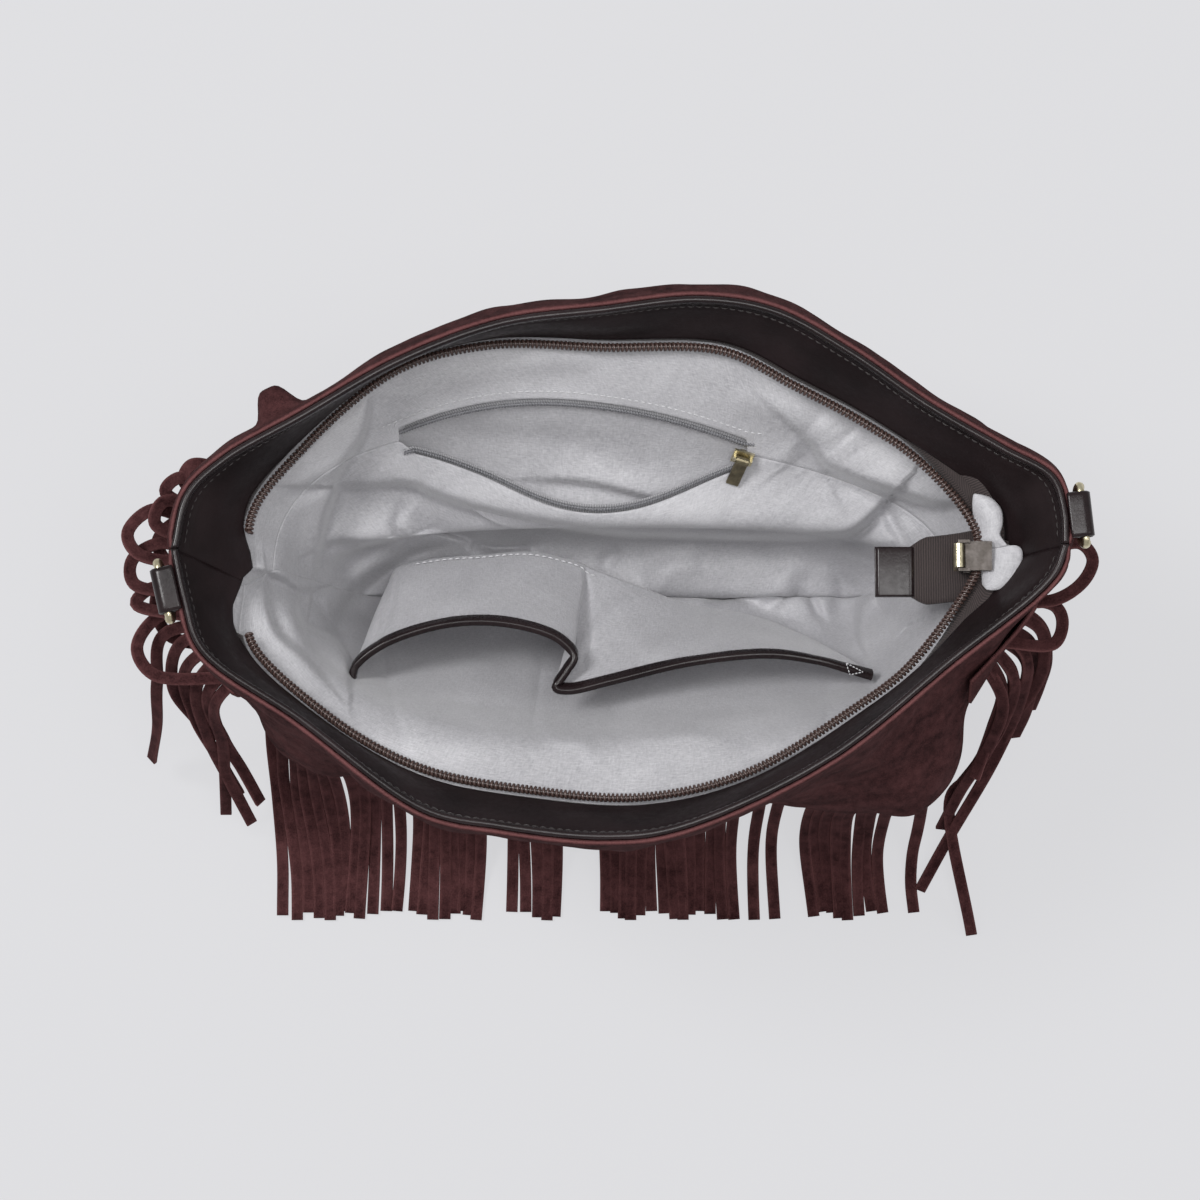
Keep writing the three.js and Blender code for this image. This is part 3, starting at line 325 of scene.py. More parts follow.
    # Wall

    def tip_share(self, point: Array) -> Array:
        """Fourth power of the distance along X, as a share of half the mouth."""
        return np.minimum(1.2, np.abs(point[..., 0]) / (self.mouth[0] / 2)) ** 4

    def rim_height(self, s: Array) -> Array:
        """Height of the rim, which rises at both tips."""
        return self.height + self.tip_rise * self.tip_share(self.rim.at(s))

    def wall_top(self, s: Array) -> Array:
        """Height of the suede's cut edge."""
        return self.rim_height(s) - self.edge_drop

    def wall_face(self, s: Array, z: Array) -> Array:
        """Outer face of the suede wall, from the rim past shoulder, waist and belly to the base."""
        out = self.rim.outward(s)
        edge = self.rim.at(s) + out * self.edge_outset
        swell = self.edge_outset + self.shoulder_swell * ((1 + out[..., 1:2]) / 2) ** 1.5
        shoulder = self.rim.at(s) + out * swell
        belly = self.belly_ring.at(s)
        levels = [
            (edge, self.wall_top(s)),
            (shoulder, self.height - self.shoulder_drop),
            (mix(edge, belly, 0.45), self.waist_height),
            (belly, self.belly[3]),
            (self.lower_ring.at(s), self.lower_height),
            (self.base_ring.at(s), self.wall_bottom),
        ]
        return through_heights(self.stacked(levels), z)

    @staticmethod
    def stacked(levels: Sequence[tuple[Array, Array | float]]) -> Array:
        """Levels as one array, each with its height in Z."""
        made = [
            np.concatenate([p[..., :2], np.broadcast_to(h, p.shape[:-1])[..., None]], -1) for p, h in levels
        ]
        return np.stack(made)

    def normal(self, face: Callable[[Array, Array], Array], s: Array, z: Array) -> Array:
        """Unit vector out of a face given by s and z, from four near points."""
        along = face(s + 0.003, z) - face(s - 0.003, z)
        fall = face(s, z - 1) - face(s, z + 1)
        return unit(np.cross(fall, along))

    def on_wall(self, s: Array, z: Array, off: Array | float) -> Array:
        """Point off the wall's outer face by a distance along its normal."""
        low = np.minimum(z, self.wall_top(s) - 1.01)
        return self.wall_face(s, z) + self.normal(self.wall_face, s, low) * np.asarray(off)[..., None]

    # Facing and zip

    def facing_top(self, s: Array) -> Array:
        """Upper edge of the facing, under the binding."""
        point = self.rim.at(s) - self.rim.outward(s) * 0.3
        point[..., 2] = self.rim_height(s) + self.binding[2] - self.binding[1] - 0.3
        return point

    def facing_foot(self, s: Array) -> Array:
        """Inner edge of the facing."""
        point = self.facing_edge.at(s)
        point[..., 2] = self.height + self.tip_rise * self.tip_share(point) - self.facing_drop
        return point

    def facing_frame(self, s: Array) -> tuple[Array, Array, Array]:
        """Foot, fall down the band and rise off its face.

        Args:
            s: places along the mouth.

        Returns:
            The foot's points and two unit vectors at each.
        """
        foot = self.facing_foot(s)
        along = unit(self.facing_foot(s + 0.004) - self.facing_foot(s - 0.004))
        fall = unit(foot - self.facing_top(s))
        return foot, fall, unit(np.cross(along, fall))

    def on_facing(self, s: Array, down: Array | float, off: Array | float) -> Array:
        """Point beside the facing's foot, down its fall and off its face."""
        foot, fall, rise = self.facing_frame(s)
        return foot + fall * np.asarray(down)[..., None] + rise * np.asarray(off)[..., None]

    @property
    def tape_layer(self) -> float:
        """Depth of the zip tape's face under the facing's face."""
        return self.facing_thickness + self.cloth_gap

    @property
    def lining_layer(self) -> float:
        """Depth of the lining's face under the facing's face."""
        return self.tape_layer + self.tape_thickness + self.cloth_gap

    def slider_point(self) -> Array:
        """Where the two coils meet."""
        foot, _, rise = self.facing_frame(np.array(0.5))
        z = foot[2] - self.tape_layer * rise[2] + self.cloth_gap + self.coil_radius
        return np.array([foot[0] - self.slider_inset, foot[1], z])

    def near_slider(self, s: Array) -> Array:
        """1 at the slider, falling smoothly to 0 where the coils follow the facing."""
        return smooth_step(1 - np.abs(s - 0.5) * 2 * self.half_round / self.zip_spread)

    def coil_centre(self, s: Array, side: int) -> Array:
        """Middle line of a coil; side -1 is the front one and 1 the back one."""
        foot, fall, rise = self.facing_frame(s)
        meeting = self.slider_point() + np.array([0, side * self.coil_stop, 0])
        point = foot + fall * self.coil_reach + rise * (self.coil_radius - self.facing_thickness)
        return mix(point, meeting, self.near_slider(s)[..., None])

    def coil_frame(self, s: Array, side: int) -> tuple[Array, Array]:
        """Unit vectors across a coil into the mouth, and off its tape."""
        low, high = (0.0, 0.5) if side < 0 else (0.5, 1.0)
        ahead = self.coil_centre(np.clip(s + 0.004, low, high), side)
        along = unit(ahead - self.coil_centre(np.clip(s - 0.004, low, high), side))
        inward = unit(np.cross(np.broadcast_to([0.0, 0.0, 1.0], along.shape), along))
        reach = unit(mix(self.facing_frame(s)[1], inward, self.near_slider(s)[..., None]))
        return reach, unit(np.cross(along, reach))

    # Lining

    def lining_top(self, s: Array) -> Array:
        """Line where the lining leaves the zip tape."""
        return self.on_facing(s, self.coil_reach + self.coil_radius, -self.lining_layer)

    def lining_face(self, s: Array, z: Array) -> Array:
        """Face of the lining: from the zip tape in and down to the seam at its bottom."""
        top = self.lining_top(s)
        levels = [(top, top[..., 2])] + [(ring.at(s), float(height)) for height, ring in self.lining_rings]
        return through_heights(self.stacked(levels), np.minimum(z, top[..., 2]))

    def on_lining(self, s: Array, z: Array, lift: Array | float) -> Array:
        """Point on the lining, lifted towards the middle of the bag."""
        normal = -self.normal(self.lining_face, s, z)
        return self.lining_face(s, z) + normal * np.asarray(lift)[..., None]


# Meshes


@dataclass
class Part:
    """A closed or open surface: its points in millimetres, its faces, and what its points carry."""

    points: Array
    faces: list[Array]
    uv: Array
    marks: dict[str, Array] = field(default_factory=dict)

    def volume(self) -> float:
        """Six times the volume inside the faces, negative if they point inwards."""
        total = 0.0
        for group in self.faces:
            first = self.points[group[:, 0]]
            for k in range(1, group.shape[1] - 1):
                cross = np.cross(self.points[group[:, k]], self.points[group[:, k + 1]])
                total += float((first * cross).sum())
        return total

    def outward(self) -> "Part":
        """The same surface with its faces turned outwards."""
        if self.volume() < 0:
            self.faces = [group[:, ::-1] for group in self.faces]
        return self


def joined(parts: Sequence[Part]) -> Part:
    """Several surfaces as one, each with its own points.

    Args:
        parts: the surfaces. A mark that one of them lacks is 0 there.

    Returns:
        One surface.
    """
    starts = np.concatenate([[0], np.cumsum([len(p.points) for p in parts])])
    names = sorted({name for p in parts for name in p.marks})
    faces = [group + start for p, start in zip(parts, starts) for group in p.faces]
    marks = {n: np.concatenate([p.marks.get(n, np.zeros(len(p.points))) for p in parts]) for n in names}
    return Part(np.vstack([p.points for p in parts]), faces, np.vstack([p.uv for p in parts]), marks)


def quads(ids: Array) -> Array:
    """Four-cornered faces over a grid of point numbers."""
    corners = [ids[:-1, :-1], ids[1:, :-1], ids[1:, 1:], ids[:-1, 1:]]
    return np.stack(corners, -1).reshape(-1, 4)


def lengths_over(points: Array) -> tuple[Array, Array]:
    """Mean length along each axis of a grid of points, added up point by point."""
    down = np.linalg.norm(np.diff(points, axis=1), axis=-1).mean(0)
    along = np.linalg.norm(np.diff(points, axis=0), axis=-1).mean(1)
    return np.concatenate([[0], np.cumsum(along)]), np.concatenate([[0], np.cumsum(down)])


def slab(outer: Array, inner: Array, raw: float = 1.0, **marks: Array) -> Part:
    """A closed sheet between two grids, with a rounded cut edge all round.

    The edge carries the mark raw, so that a finish can show the cut fibres there.

    Args:
        outer: grid of the outer face.
        inner: grid of the inner face, the same shape.
        raw: strength of the mark on the edge.
        marks: further marks over the grid, the same on both faces.

    Returns:
        The sheet.
    """
    n, m = outer.shape[:2]
    u, v = lengths_over(outer)
    uv = np.stack(np.meshgrid(u, v, indexing="ij"), -1)
    ids = np.arange(n * m).reshape(n, m)
    loop = np.concatenate([ids[:, 0], ids[-1, 1:], ids[-2::-1, -1], ids[0, -2:0:-1]])
    flat_out, flat_in = outer.reshape(-1, 3), inner.reshape(-1, 3)
    middle = (flat_out[loop] + flat_in[loop]) / 2
    thick = np.linalg.norm(flat_out[loop] - flat_in[loop], axis=1, keepdims=True)
    neighbour = np.concatenate([ids[:, 1], ids[-2, 1:], ids[-2::-1, -2], ids[1, -2:0:-1]])
    away = unit(flat_out[loop] - flat_out[neighbour])
    points = np.vstack([flat_out, flat_in, middle + away * thick * 0.3])
    size = n * m
    rim = 2 * size + np.arange(len(loop) + 1) % len(loop)
    shut = np.append(loop, loop[0])
    faces = [quads(ids), quads(ids)[:, ::-1] + size]
    faces.append(np.stack([shut[1:], shut[:-1], rim[:-1], rim[1:]], 1))
    faces.append(np.stack([rim[1:], rim[:-1], shut[:-1] + size, shut[1:] + size], 1))
    made = {
        name: np.concatenate([g.reshape(-1), g.reshape(-1), g.reshape(-1)[loop]]) for name, g in marks.items()
    }
    made["raw"] = np.concatenate([np.zeros(2 * size), np.full(len(loop), raw)])
    flat_uv = uv.reshape(-1, 2)
    return Part(points, faces, np.vstack([flat_uv, flat_uv, flat_uv[loop]]), made).outward()


def tube(rings: Array, closed: bool = False, raw: Array | None = None) -> Part:
    """A surface through rings of points, shut at both ends unless it closes on itself.

    Args:
        rings: grid of points, ring by ring.
        closed: true where the last ring joins the first.
        raw: the mark raw at each point of a ring.

    Returns:
        The tube, with its length and the way round it as its UV.
    """
    n, k = rings.shape[:2]
    ids = np.arange(n * k).reshape(n, k)
    ids = np.concatenate([ids, ids[:, :1]], 1)
    if closed:
        ids = np.concatenate([ids, ids[:1]], 0)
    faces = [quads(ids)]
    if not closed:
        faces.append(np.stack([ids[0, :-1][::-1], ids[-1, :-1]]))
    along = np.concatenate([[0], np.cumsum(np.linalg.norm(np.diff(rings.mean(1), axis=0), axis=1))])
    turn = np.linalg.norm(rings[0] - np.roll(rings[0], 1, 0), axis=1).cumsum()
    uv = np.stack(np.meshgrid(along, turn, indexing="ij"), -1).reshape(-1, 2)
    marks = {"raw": np.tile(raw if raw is not None else np.zeros(k), n)}
    return Part(rings.reshape(-1, 3), faces, uv, marks).outward()


def swept(
    line: Array, across: Array, off: Array, profile: Array, closed: bool = False, raw: Array | None = None
) -> Part:
    """A profile carried along a line: each of its points goes that far across and off the line."""
    rings = line[:, None] + across[:, None] * profile[None, :, :1] + off[:, None] * profile[None, :, 1:2]
    return tube(rings, closed, raw)


def oval(width: float, height: float, count: int, power: float = 1.0) -> Array:
    """Profile of an oval: the powers of cosine and sine, boxier for a small power."""
    angle = np.arange(count) * 2 * np.pi / count
    x = np.sign(np.cos(angle)) * np.abs(np.cos(angle)) ** power
    y = np.sign(np.sin(angle)) * np.abs(np.sin(angle)) ** power
    return np.stack([x * width / 2, y * height / 2], 1)


def strap_profile(width: float, thickness: float) -> tuple[Array, Array]:
    """Profile of a cut strap, and which of its points lie on the cut sides."""
    x, y = width / 2, thickness / 2
    half = [
        (-0.5 * x, y), (0, y), (0.5 * x, y), (0.93 * x, y), (x, 0.6 * y), (x, 0), (x, -0.6 * y),
        (0.93 * x, -y)
    ]
    rest = [
        (0.5 * x, -y), (0, -y), (-0.5 * x, -y), (-0.93 * x, -y), (-x, -0.6 * y), (-x, 0), (-x, 0.6 * y),
        (-0.93 * x, y)
    ]
    raw = np.array([0, 0, 0, 0.35, 1, 1, 1, 0.35] * 2, float)
    return np.array(half + rest)[::-1], raw[::-1]


def turned_frames(line: Array, flat: Array, twist: Array | float = 0.0) -> tuple[Array, Array]:
    """Vectors across and off a line, square to it, off being near flat and turned by twist."""
    along = unit(np.gradient(line, axis=0))
    across = unit(np.cross(along, np.broadcast_to(flat, along.shape)))
    off = np.cross(across, along)
    turn = np.broadcast_to(np.asarray(twist, float), along.shape[:1])[:, None]
    return across * np.cos(turn) + off * np.sin(turn), off * np.cos(turn) - across * np.sin(turn)


def stitches(
    line: Route, rise: Callable[[Array], Array], pitch: float, width: float, lift: float = 0.0
) -> Part:
    """A row of stitches along a line: each a short fat thread, its ends sunk below the face.

    A stitch's height is the sine of the share along it, and its width falls off at both ends.

    Args:
        line: the row's line.
        rise: gives the face's normal at shares of the line.
        pitch: length from one stitch to the next.
        width: the thread's width.
        lift: height of the row over the line.

    Returns:
        All the stitches as one surface.
    """
    count = max(2, int(line.length / pitch))
    steps, sides = 6, 6
    t = np.linspace(0, 1, steps)
    share = ((np.arange(count)[:, None] + 0.12 + 0.76 * t[None]) / count).reshape(-1)
    point, along = line.at(share), line.tangent(share)
    normal = rise(share)
    across = unit(np.cross(along, normal))
    bulge = np.sin(np.pi * np.tile(t, count))[:, None]
    point = point + normal * (lift + width * (0.55 * bulge - 0.35))
    thick = (width / 2) * (0.25 + 0.75 * bulge**0.5)
    profile = oval(1.0, 1.0, sides) * 2
    rings = point[:, None] + (
        across[:, None] * profile[None, :, :1] + normal[:, None] * profile[None, :, 1:]
    ) * thick[:, None]
    ids = np.arange(count * steps * sides).reshape(count, steps, sides)
    ids = np.concatenate([ids, ids[..., :1]], -1)
    corners = [ids[:, :-1, :-1], ids[:, 1:, :-1], ids[:, 1:, 1:], ids[:, :-1, 1:]]
    ends = np.concatenate([ids[:, 0, :-1][:, ::-1], ids[:, -1, :-1]])
    uv = np.zeros((rings.reshape(-1, 3).shape[0], 2))
    part = Part(rings.reshape(-1, 3), [np.stack(corners, -1).reshape(-1, 4), ends], uv)
    return part.outward()


def piece(
    name: str, part: Part, material: bpy.types.Material, replaces: Sequence[str] = ()
) -> bpy.types.Object:
    """Makes an object of a surface and hangs it on the bag's body.

    Args:
        name: the object's name.
        part: its surface in millimetres.
        material: its finish.
        replaces: the solids that it stands for.

    Returns:
        The object, at the origin, unturned and unscaled.
    """
    mesh = bpy.data.meshes.new(name)
    mesh.vertices.add(len(part.points))
    mesh.vertices.foreach_set("co", (part.points * METRES).astype(np.float32).ravel())
    corner_ids = np.concatenate([group.ravel() for group in part.faces]).astype(np.int32)
    sizes = np.concatenate([np.full(len(group), group.shape[1]) for group in part.faces])
    mesh.loops.add(len(corner_ids))
    mesh.loops.foreach_set("vertex_index", corner_ids)
    mesh.polygons.add(len(sizes))
    mesh.polygons.foreach_set("loop_start", np.concatenate([[0], np.cumsum(sizes)[:-1]]).astype(np.int32))
    layer = mesh.uv_layers.new(name="Cloth")
    layer.data.foreach_set("uv", (part.uv[corner_ids] * METRES).astype(np.float32).ravel())
    for mark, values in part.marks.items():
        attribute = mesh.attributes.new(mark, "FLOAT", "POINT")
        attribute.data.foreach_set("value", values.astype(np.float32))
    mesh.update(calc_edges=True)
    mesh.polygons.foreach_set("use_smooth", np.ones(len(sizes), bool))
    made = bpy.data.objects.new(name, mesh)
    made.data.materials.append(material)
    bpy.context.scene.collection.objects.link(made)
    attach(made, "bag")
    if replaces:
        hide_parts(*replaces)
    log.info("%s: %d points, %d faces", name, len(part.points), len(sizes))
    return made


# Finishes


class Space(Enum):
    """What a pattern is laid on."""

    OBJECT = "Object"
    CLOTH = "UV"


class Shader:
    """Nodes of one material, added by plain calls."""

    def __init__(self, name: str) -> None:
        """Starts a material with one principled surface."""
        self.material = bpy.data.materials.new(name)
        self.material.use_nodes = True
        self.tree = self.material.node_tree
        self.surface = self.tree.nodes["Principled BSDF"]
        self.coordinates = self.tree.nodes.new("ShaderNodeTexCoord")

    def node(self, kind: str, sockets: dict | None = None, **settings: object) -> bpy.types.Node:
        """Adds a node, gives it its settings, and fills or links its sockets.

        Args:
            kind: Blender's name of the node.
            sockets: values or other nodes' outputs, by the socket's name or number.
            settings: the node's own settings.

        Returns:
            The node.
        """
        made = self.tree.nodes.new(kind)
        for key, value in settings.items():
            setattr(made, key, value)
        for key, value in (sockets or {}).items():
            self.fill(made.inputs[key], value)
        return made

    def fill(self, socket: bpy.types.NodeSocket, value: object) -> None:
        """Sets a socket to a value, or links it to an output."""
        if isinstance(value, bpy.types.NodeSocket):
            self.tree.links.new(value, socket)
        else:
            socket.default_value = value

    def place(self, space: Space, scale: tuple[float, float, float]) -> bpy.types.NodeSocket:
        """Coordinates stretched by a factor on each axis."""
        mapping = self.node(
            "ShaderNodeMapping", {"Vector": self.coordinates.outputs[space.value], "Scale": scale}
        )
        return mapping.outputs["Vector"]

    def noise(
        self, where: bpy.types.NodeSocket, scale: float, detail: float = 4.0, rough: float = 0.55
    ) -> bpy.types.NodeSocket:
        """Cloudy pattern between 0 and 1."""
        sockets = {"Vector": where, "Scale": scale, "Detail": detail, "Roughness": rough}
        return self.node("ShaderNodeTexNoise", sockets).outputs["Fac"]

    def ramp(
        self, value: bpy.types.NodeSocket, low: float, high: float, first: float = 0.0, last: float = 1.0
    ) -> bpy.types.NodeSocket:
        """Value from low to high taken smoothly to first to last."""
        sockets = {"Value": value, "From Min": low, "From Max": high, "To Min": first, "To Max": last}
        return self.node("ShaderNodeMapRange", sockets, clamp=True).outputs["Result"]

    def math(self, operation: str, a: object, b: object) -> bpy.types.NodeSocket:
        """One sum, product or other operation."""
        return self.node("ShaderNodeMath", {0: a, 1: b}, operation=operation).outputs[0]

    def blend(self, share: object, a: object, b: object, kind: str = "MIX") -> bpy.types.NodeSocket:
        """One colour laid over another by a share."""
        made = self.node("ShaderNodeMix", data_type="RGBA", blend_type=kind)
        for key, value in ((0, share), (6, a), (7, b)):
            self.fill(made.inputs[key], value)
        return made.outputs[2]

    def mark(self, name: str) -> bpy.types.NodeSocket:
        """A mark that the surface's points carry."""
        return self.node("ShaderNodeAttribute", attribute_name=name).outputs["Fac"]

    def bump(
        self, height: bpy.types.NodeSocket, strength: float, distance: float, under: object = None
    ) -> bpy.types.NodeSocket:
        """Normal of a surface with small heights on it."""
        sockets = {"Height": height, "Strength": strength, "Distance": distance}
        if under is not None:
            sockets["Normal"] = under
        return self.node("ShaderNodeBump", sockets).outputs["Normal"]

    def finish(self, **sockets: object) -> bpy.types.Material:
        """Fills the surface's sockets, an underscore standing for a space, and returns the material."""
        for key, value in sockets.items():
            self.fill(self.surface.inputs[key.replace("_", " ")], value)
        return self.material


Colour = tuple[float, float, float, float]


@dataclass(frozen=True)
class SuedeFinish:
    """Napped suede: soft tone patches, fine nap, and paler fibres on cut edges."""

    name: str = "suede"
    dark: Colour = (0.022, 0.0085, 0.0092, 1.0)
    light: Colour = (0.085, 0.034, 0.035, 1.0)
    cut: Colour = (0.19, 0.08, 0.08, 1.0)

    def material(self) -> bpy.types.Material:
        """The finish as a material: nap and patches on object coordinates, cut fibres by the mark raw."""
        s = Shader(self.name)
        where = s.place(Space.OBJECT, (1, 1, 1))
        nap = s.noise(where, 1500, 3, 0.7)
        patches = s.noise(where, 60, 3, 0.6)
        streaks = s.noise(s.place(Space.OBJECT, (1, 1, 0.35)), 300, 3, 0.6)
        tone = s.math("ADD", s.math("MULTIPLY", nap, 0.5), s.math("MULTIPLY", patches, 0.5))
        tone = s.math("ADD", s.math("MULTIPLY", tone, 0.7), s.math("MULTIPLY", streaks, 0.3))
        colour = s.blend(s.ramp(tone, 0.38, 0.62), self.dark, self.light)
        fibres = s.ramp(s.math("MULTIPLY", s.mark("raw"), s.ramp(nap, 0.2, 0.7, 0.45, 1.0)), 0, 1, 0, 0.8)
        colour = s.blend(fibres, colour, self.cut)
        normal = s.bump(nap, 0.7, 0.0005)
        normal = s.bump(patches, 0.4, 0.001, normal)
        return s.finish(
            Base_Color=colour, Roughness=1.0, Normal=normal, Specular_IOR_Level=0.04
        )


@dataclass(frozen=True)
class LeatherFinish:
    """Smooth dark leather: faint pores, soft gloss, and paler wear in broad cloudy patches."""

    name: str = "leather"
    deep: Colour = (0.009, 0.0055, 0.006, 1.0)
    worn: Colour = (0.02, 0.0125, 0.0135, 1.0)
    gloss: float = 0.42
    coat: float = 0.04

    def material(self) -> bpy.types.Material:
        """The finish as a material: pores and broad tone on object coordinates."""
        s = Shader(self.name)
        where = s.place(Space.OBJECT, (1, 1, 1))
        pores = s.node("ShaderNodeTexVoronoi", {"Vector": where, "Scale": 1100.0}).outputs["Distance"]
        cloud = s.noise(where, 35, 3)
        fine = s.noise(where, 450, 3, 0.6)
        colour = s.blend(s.ramp(cloud, 0.35, 0.75), self.deep, self.worn)
        rough = s.ramp(fine, 0.3, 0.7, self.gloss - 0.05, self.gloss + 0.1)
        normal = s.bump(pores, 0.12, 0.0002)
        normal = s.bump(fine, 0.15, 0.0004, normal)
        return s.finish(
            Base_Color=colour, Roughness=rough, Normal=normal,
            Coat_Weight=self.coat, Coat_Roughness=0.2, Specular_IOR_Level=0.16
        )


@dataclass(frozen=True)
class SatinFinish:
    """Grey satin cloth: fine threads both ways, faint slubs, and a soft sheen."""

    name: str = "satin"
    low: Colour = (0.33, 0.325, 0.345, 1.0)
    high: Colour = (0.53, 0.525, 0.545, 1.0)

    def material(self) -> bpy.types.Material:
        """The finish as a material: threads follow the cloth's UV, patches the object."""
        s = Shader(self.name)
        warp = s.noise(s.place(Space.CLOTH, (400, 1500, 1)), 1.0, 3, 0.7)
        weft = s.noise(s.place(Space.CLOTH, (1500, 340, 1)), 1.0, 3, 0.7)
        cloud = s.noise(s.place(Space.OBJECT, (1, 1, 1)), 45, 3)
        threads = s.math("ADD", s.math("MULTIPLY", warp, 0.55), s.math("MULTIPLY", weft, 0.45))
        tone = s.math("ADD", s.math("MULTIPLY", threads, 0.8), s.math("MULTIPLY", cloud, 0.2))
        colour = s.blend(s.ramp(tone, 0.36, 0.64), self.low, self.high)
        normal = s.bump(threads, 0.6, 0.0006)
        normal = s.bump(cloud, 0.2, 0.002, normal)
        rough = s.ramp(threads, 0.3, 0.7, 0.42, 0.6)
        return s.finish(
            Base_Color=colour, Roughness=rough, Normal=normal, Sheen_Weight=0.3, Sheen_Roughness=0.35
        )


@dataclass(frozen=True)
class TapeFinish:
    """Woven zip tape with fine ribs along it."""

    name: str = "tape"
    low: Colour = (0.012, 0.008, 0.008, 1.0)
    high: Colour = (0.05, 0.034, 0.033, 1.0)
    ribs: float = 330.0

    def material(self) -> bpy.types.Material:
        """The finish as a material: ribs and threads follow the cloth's UV."""
        s = Shader(self.name)
        rib = s.node(
            "ShaderNodeTexWave",
            {"Vector": s.place(Space.CLOTH, (1, 1, 1)), "Scale": self.ribs, "Distortion": 1.0}
        )
        thread = s.noise(s.place(Space.CLOTH, (1700, 1700, 1)), 1.0, 2, 0.6)
        tone = s.math("ADD", s.math("MULTIPLY", rib.outputs["Fac"], 0.5), s.math("MULTIPLY", thread, 0.5))
        colour = s.blend(s.ramp(tone, 0.25, 0.8), self.low, self.high)
        return s.finish(Base_Color=colour, Roughness=0.8, Normal=s.bump(tone, 0.6, 0.0004), Sheen_Weight=0.15)


@dataclass(frozen=True)
class NylonFinish:
    """Nylon of a zip's coil."""

    name: str = "nylon"
    colour: Colour = (0.05, 0.03, 0.026, 1.0)
    gloss: float = 0.3

    def material(self) -> bpy.types.Material:
        """The finish as a material, with a faint tone along the coil."""
        s = Shader(self.name)
        tone = s.noise(s.place(Space.OBJECT, (1, 1, 1)), 400, 2)
        paler = tuple(min(1.0, 1.6 * c) for c in self.colour[:3]) + (1.0,)
        return s.finish(
            Base_Color=s.blend(tone, self.colour, paler), Roughness=self.gloss, Specular_IOR_Level=0.6
        )


@dataclass(frozen=True)
class MetalFinish:
    """Plated metal with fine brushing, darker in small patches."""

    name: str = "brass"
    bright: Colour = (0.72, 0.66, 0.47, 1.0)
    dull: Colour = (0.42, 0.37, 0.24, 1.0)
    gloss: float = 0.24

    def material(self) -> bpy.types.Material:
        """The finish as a material: brushing and patches on object coordinates."""
        s = Shader(self.name)
        where = s.place(Space.OBJECT, (1, 1, 1))
        patch = s.noise(where, 260, 4, 0.6)
        brushed = s.noise(s.place(Space.OBJECT, (1, 1, 6)), 900, 2)
        colour = s.blend(s.ramp(patch, 0.4, 0.75), self.bright, self.dull)
        rough = s.ramp(brushed, 0.2, 0.8, self.gloss, self.gloss + 0.14)
        return s.finish(
            Base_Color=colour, Roughness=rough, Metallic=1.0, Normal=s.bump(brushed, 0.08, 0.0001)
        )


@dataclass(frozen=True)
class ThreadFinish:
    """Sewing thread."""

    name: str = "thread"
    colour: Colour = (0.02, 0.015, 0.015, 1.0)

    def material(self) -> bpy.types.Material:
        """The finish as a material, with the thread's twist as fine noise."""
        s = Shader(self.name)
        twist = s.noise(s.place(Space.OBJECT, (1, 1, 1)), 3000, 2)
        paler = tuple(min(1.0, 1.5 * c) for c in self.colour[:3]) + (1.0,)
        return s.finish(Base_Color=s.blend(twist, self.colour, paler), Roughness=0.6, Sheen_Weight=0.2)


@dataclass(frozen=True)
class BoardFinish:
    """Plain pressed board."""

    name: str = "board"

    def material(self) -> bpy.types.Material:
        """The finish as a material, with fibres on object coordinates."""
        s = Shader(self.name)
        fibre = s.noise(s.place(Space.OBJECT, (1, 1, 1)), 500, 4)
        colour = s.blend(fibre, (0.12, 0.09, 0.07, 1.0), (0.2, 0.16, 0.12, 1.0))
        return s.finish(Base_Color=colour, Roughness=0.85, Normal=s.bump(fibre, 0.3, 0.0003))


@dataclass(frozen=True)
class FloorFinish:
    """Plain pale floor."""

    name: str = "floor"
    colour: Colour = (0.74, 0.74, 0.76, 1.0)
    glow: float = 0.82

    def material(self) -> bpy.types.Material:
        """The finish as a material of one tone that mostly glows by itself, so that shadows stay faint."""
        dim = tuple(0.14 * c for c in self.colour[:3]) + (1.0,)
        return Shader(self.name).finish(
            Base_Color=dim, Roughness=1.0, Specular_IOR_Level=0.0,
            Emission_Color=self.colour, Emission_Strength=self.glow
        )


@dataclass
class Wardrobe:
    """All the finishes of the bag, made once."""

    def __post_init__(self) -> None:
        """Makes each material."""
        self.suede = SuedeFinish().material()
        self.leather = LeatherFinish(coat=0.0).material()
        self.edge_leather = LeatherFinish("edge_leather", gloss=0.26, coat=0.2).material()
        self.satin = SatinFinish().material()
        self.tape = TapeFinish().material()
        self.grey_tape = TapeFinish("grey_tape", (0.2, 0.2, 0.21, 1), (0.36, 0.355, 0.37, 1)).material()
        self.coil = NylonFinish().material()
        self.grey_coil = NylonFinish("grey_nylon", (0.13, 0.13, 0.14, 1), 0.4).material()
        self.brass = MetalFinish().material()
        self.aged = MetalFinish("aged_brass", (0.3, 0.26, 0.17, 1), (0.12, 0.1, 0.07, 1), 0.3).material()
        self.steel = MetalFinish("steel", (0.75, 0.75, 0.73, 1), (0.45, 0.45, 0.44, 1), 0.2).material()
        self.gunmetal = MetalFinish(
            "gunmetal", (0.09, 0.08, 0.075, 1), (0.04, 0.035, 0.03, 1), 0.35
        ).material()
        self.dark_thread = ThreadFinish().material()
        self.grey_thread = ThreadFinish("grey_thread", (0.42, 0.42, 0.43, 1)).material()
        self.board = BoardFinish().material()


# Studio


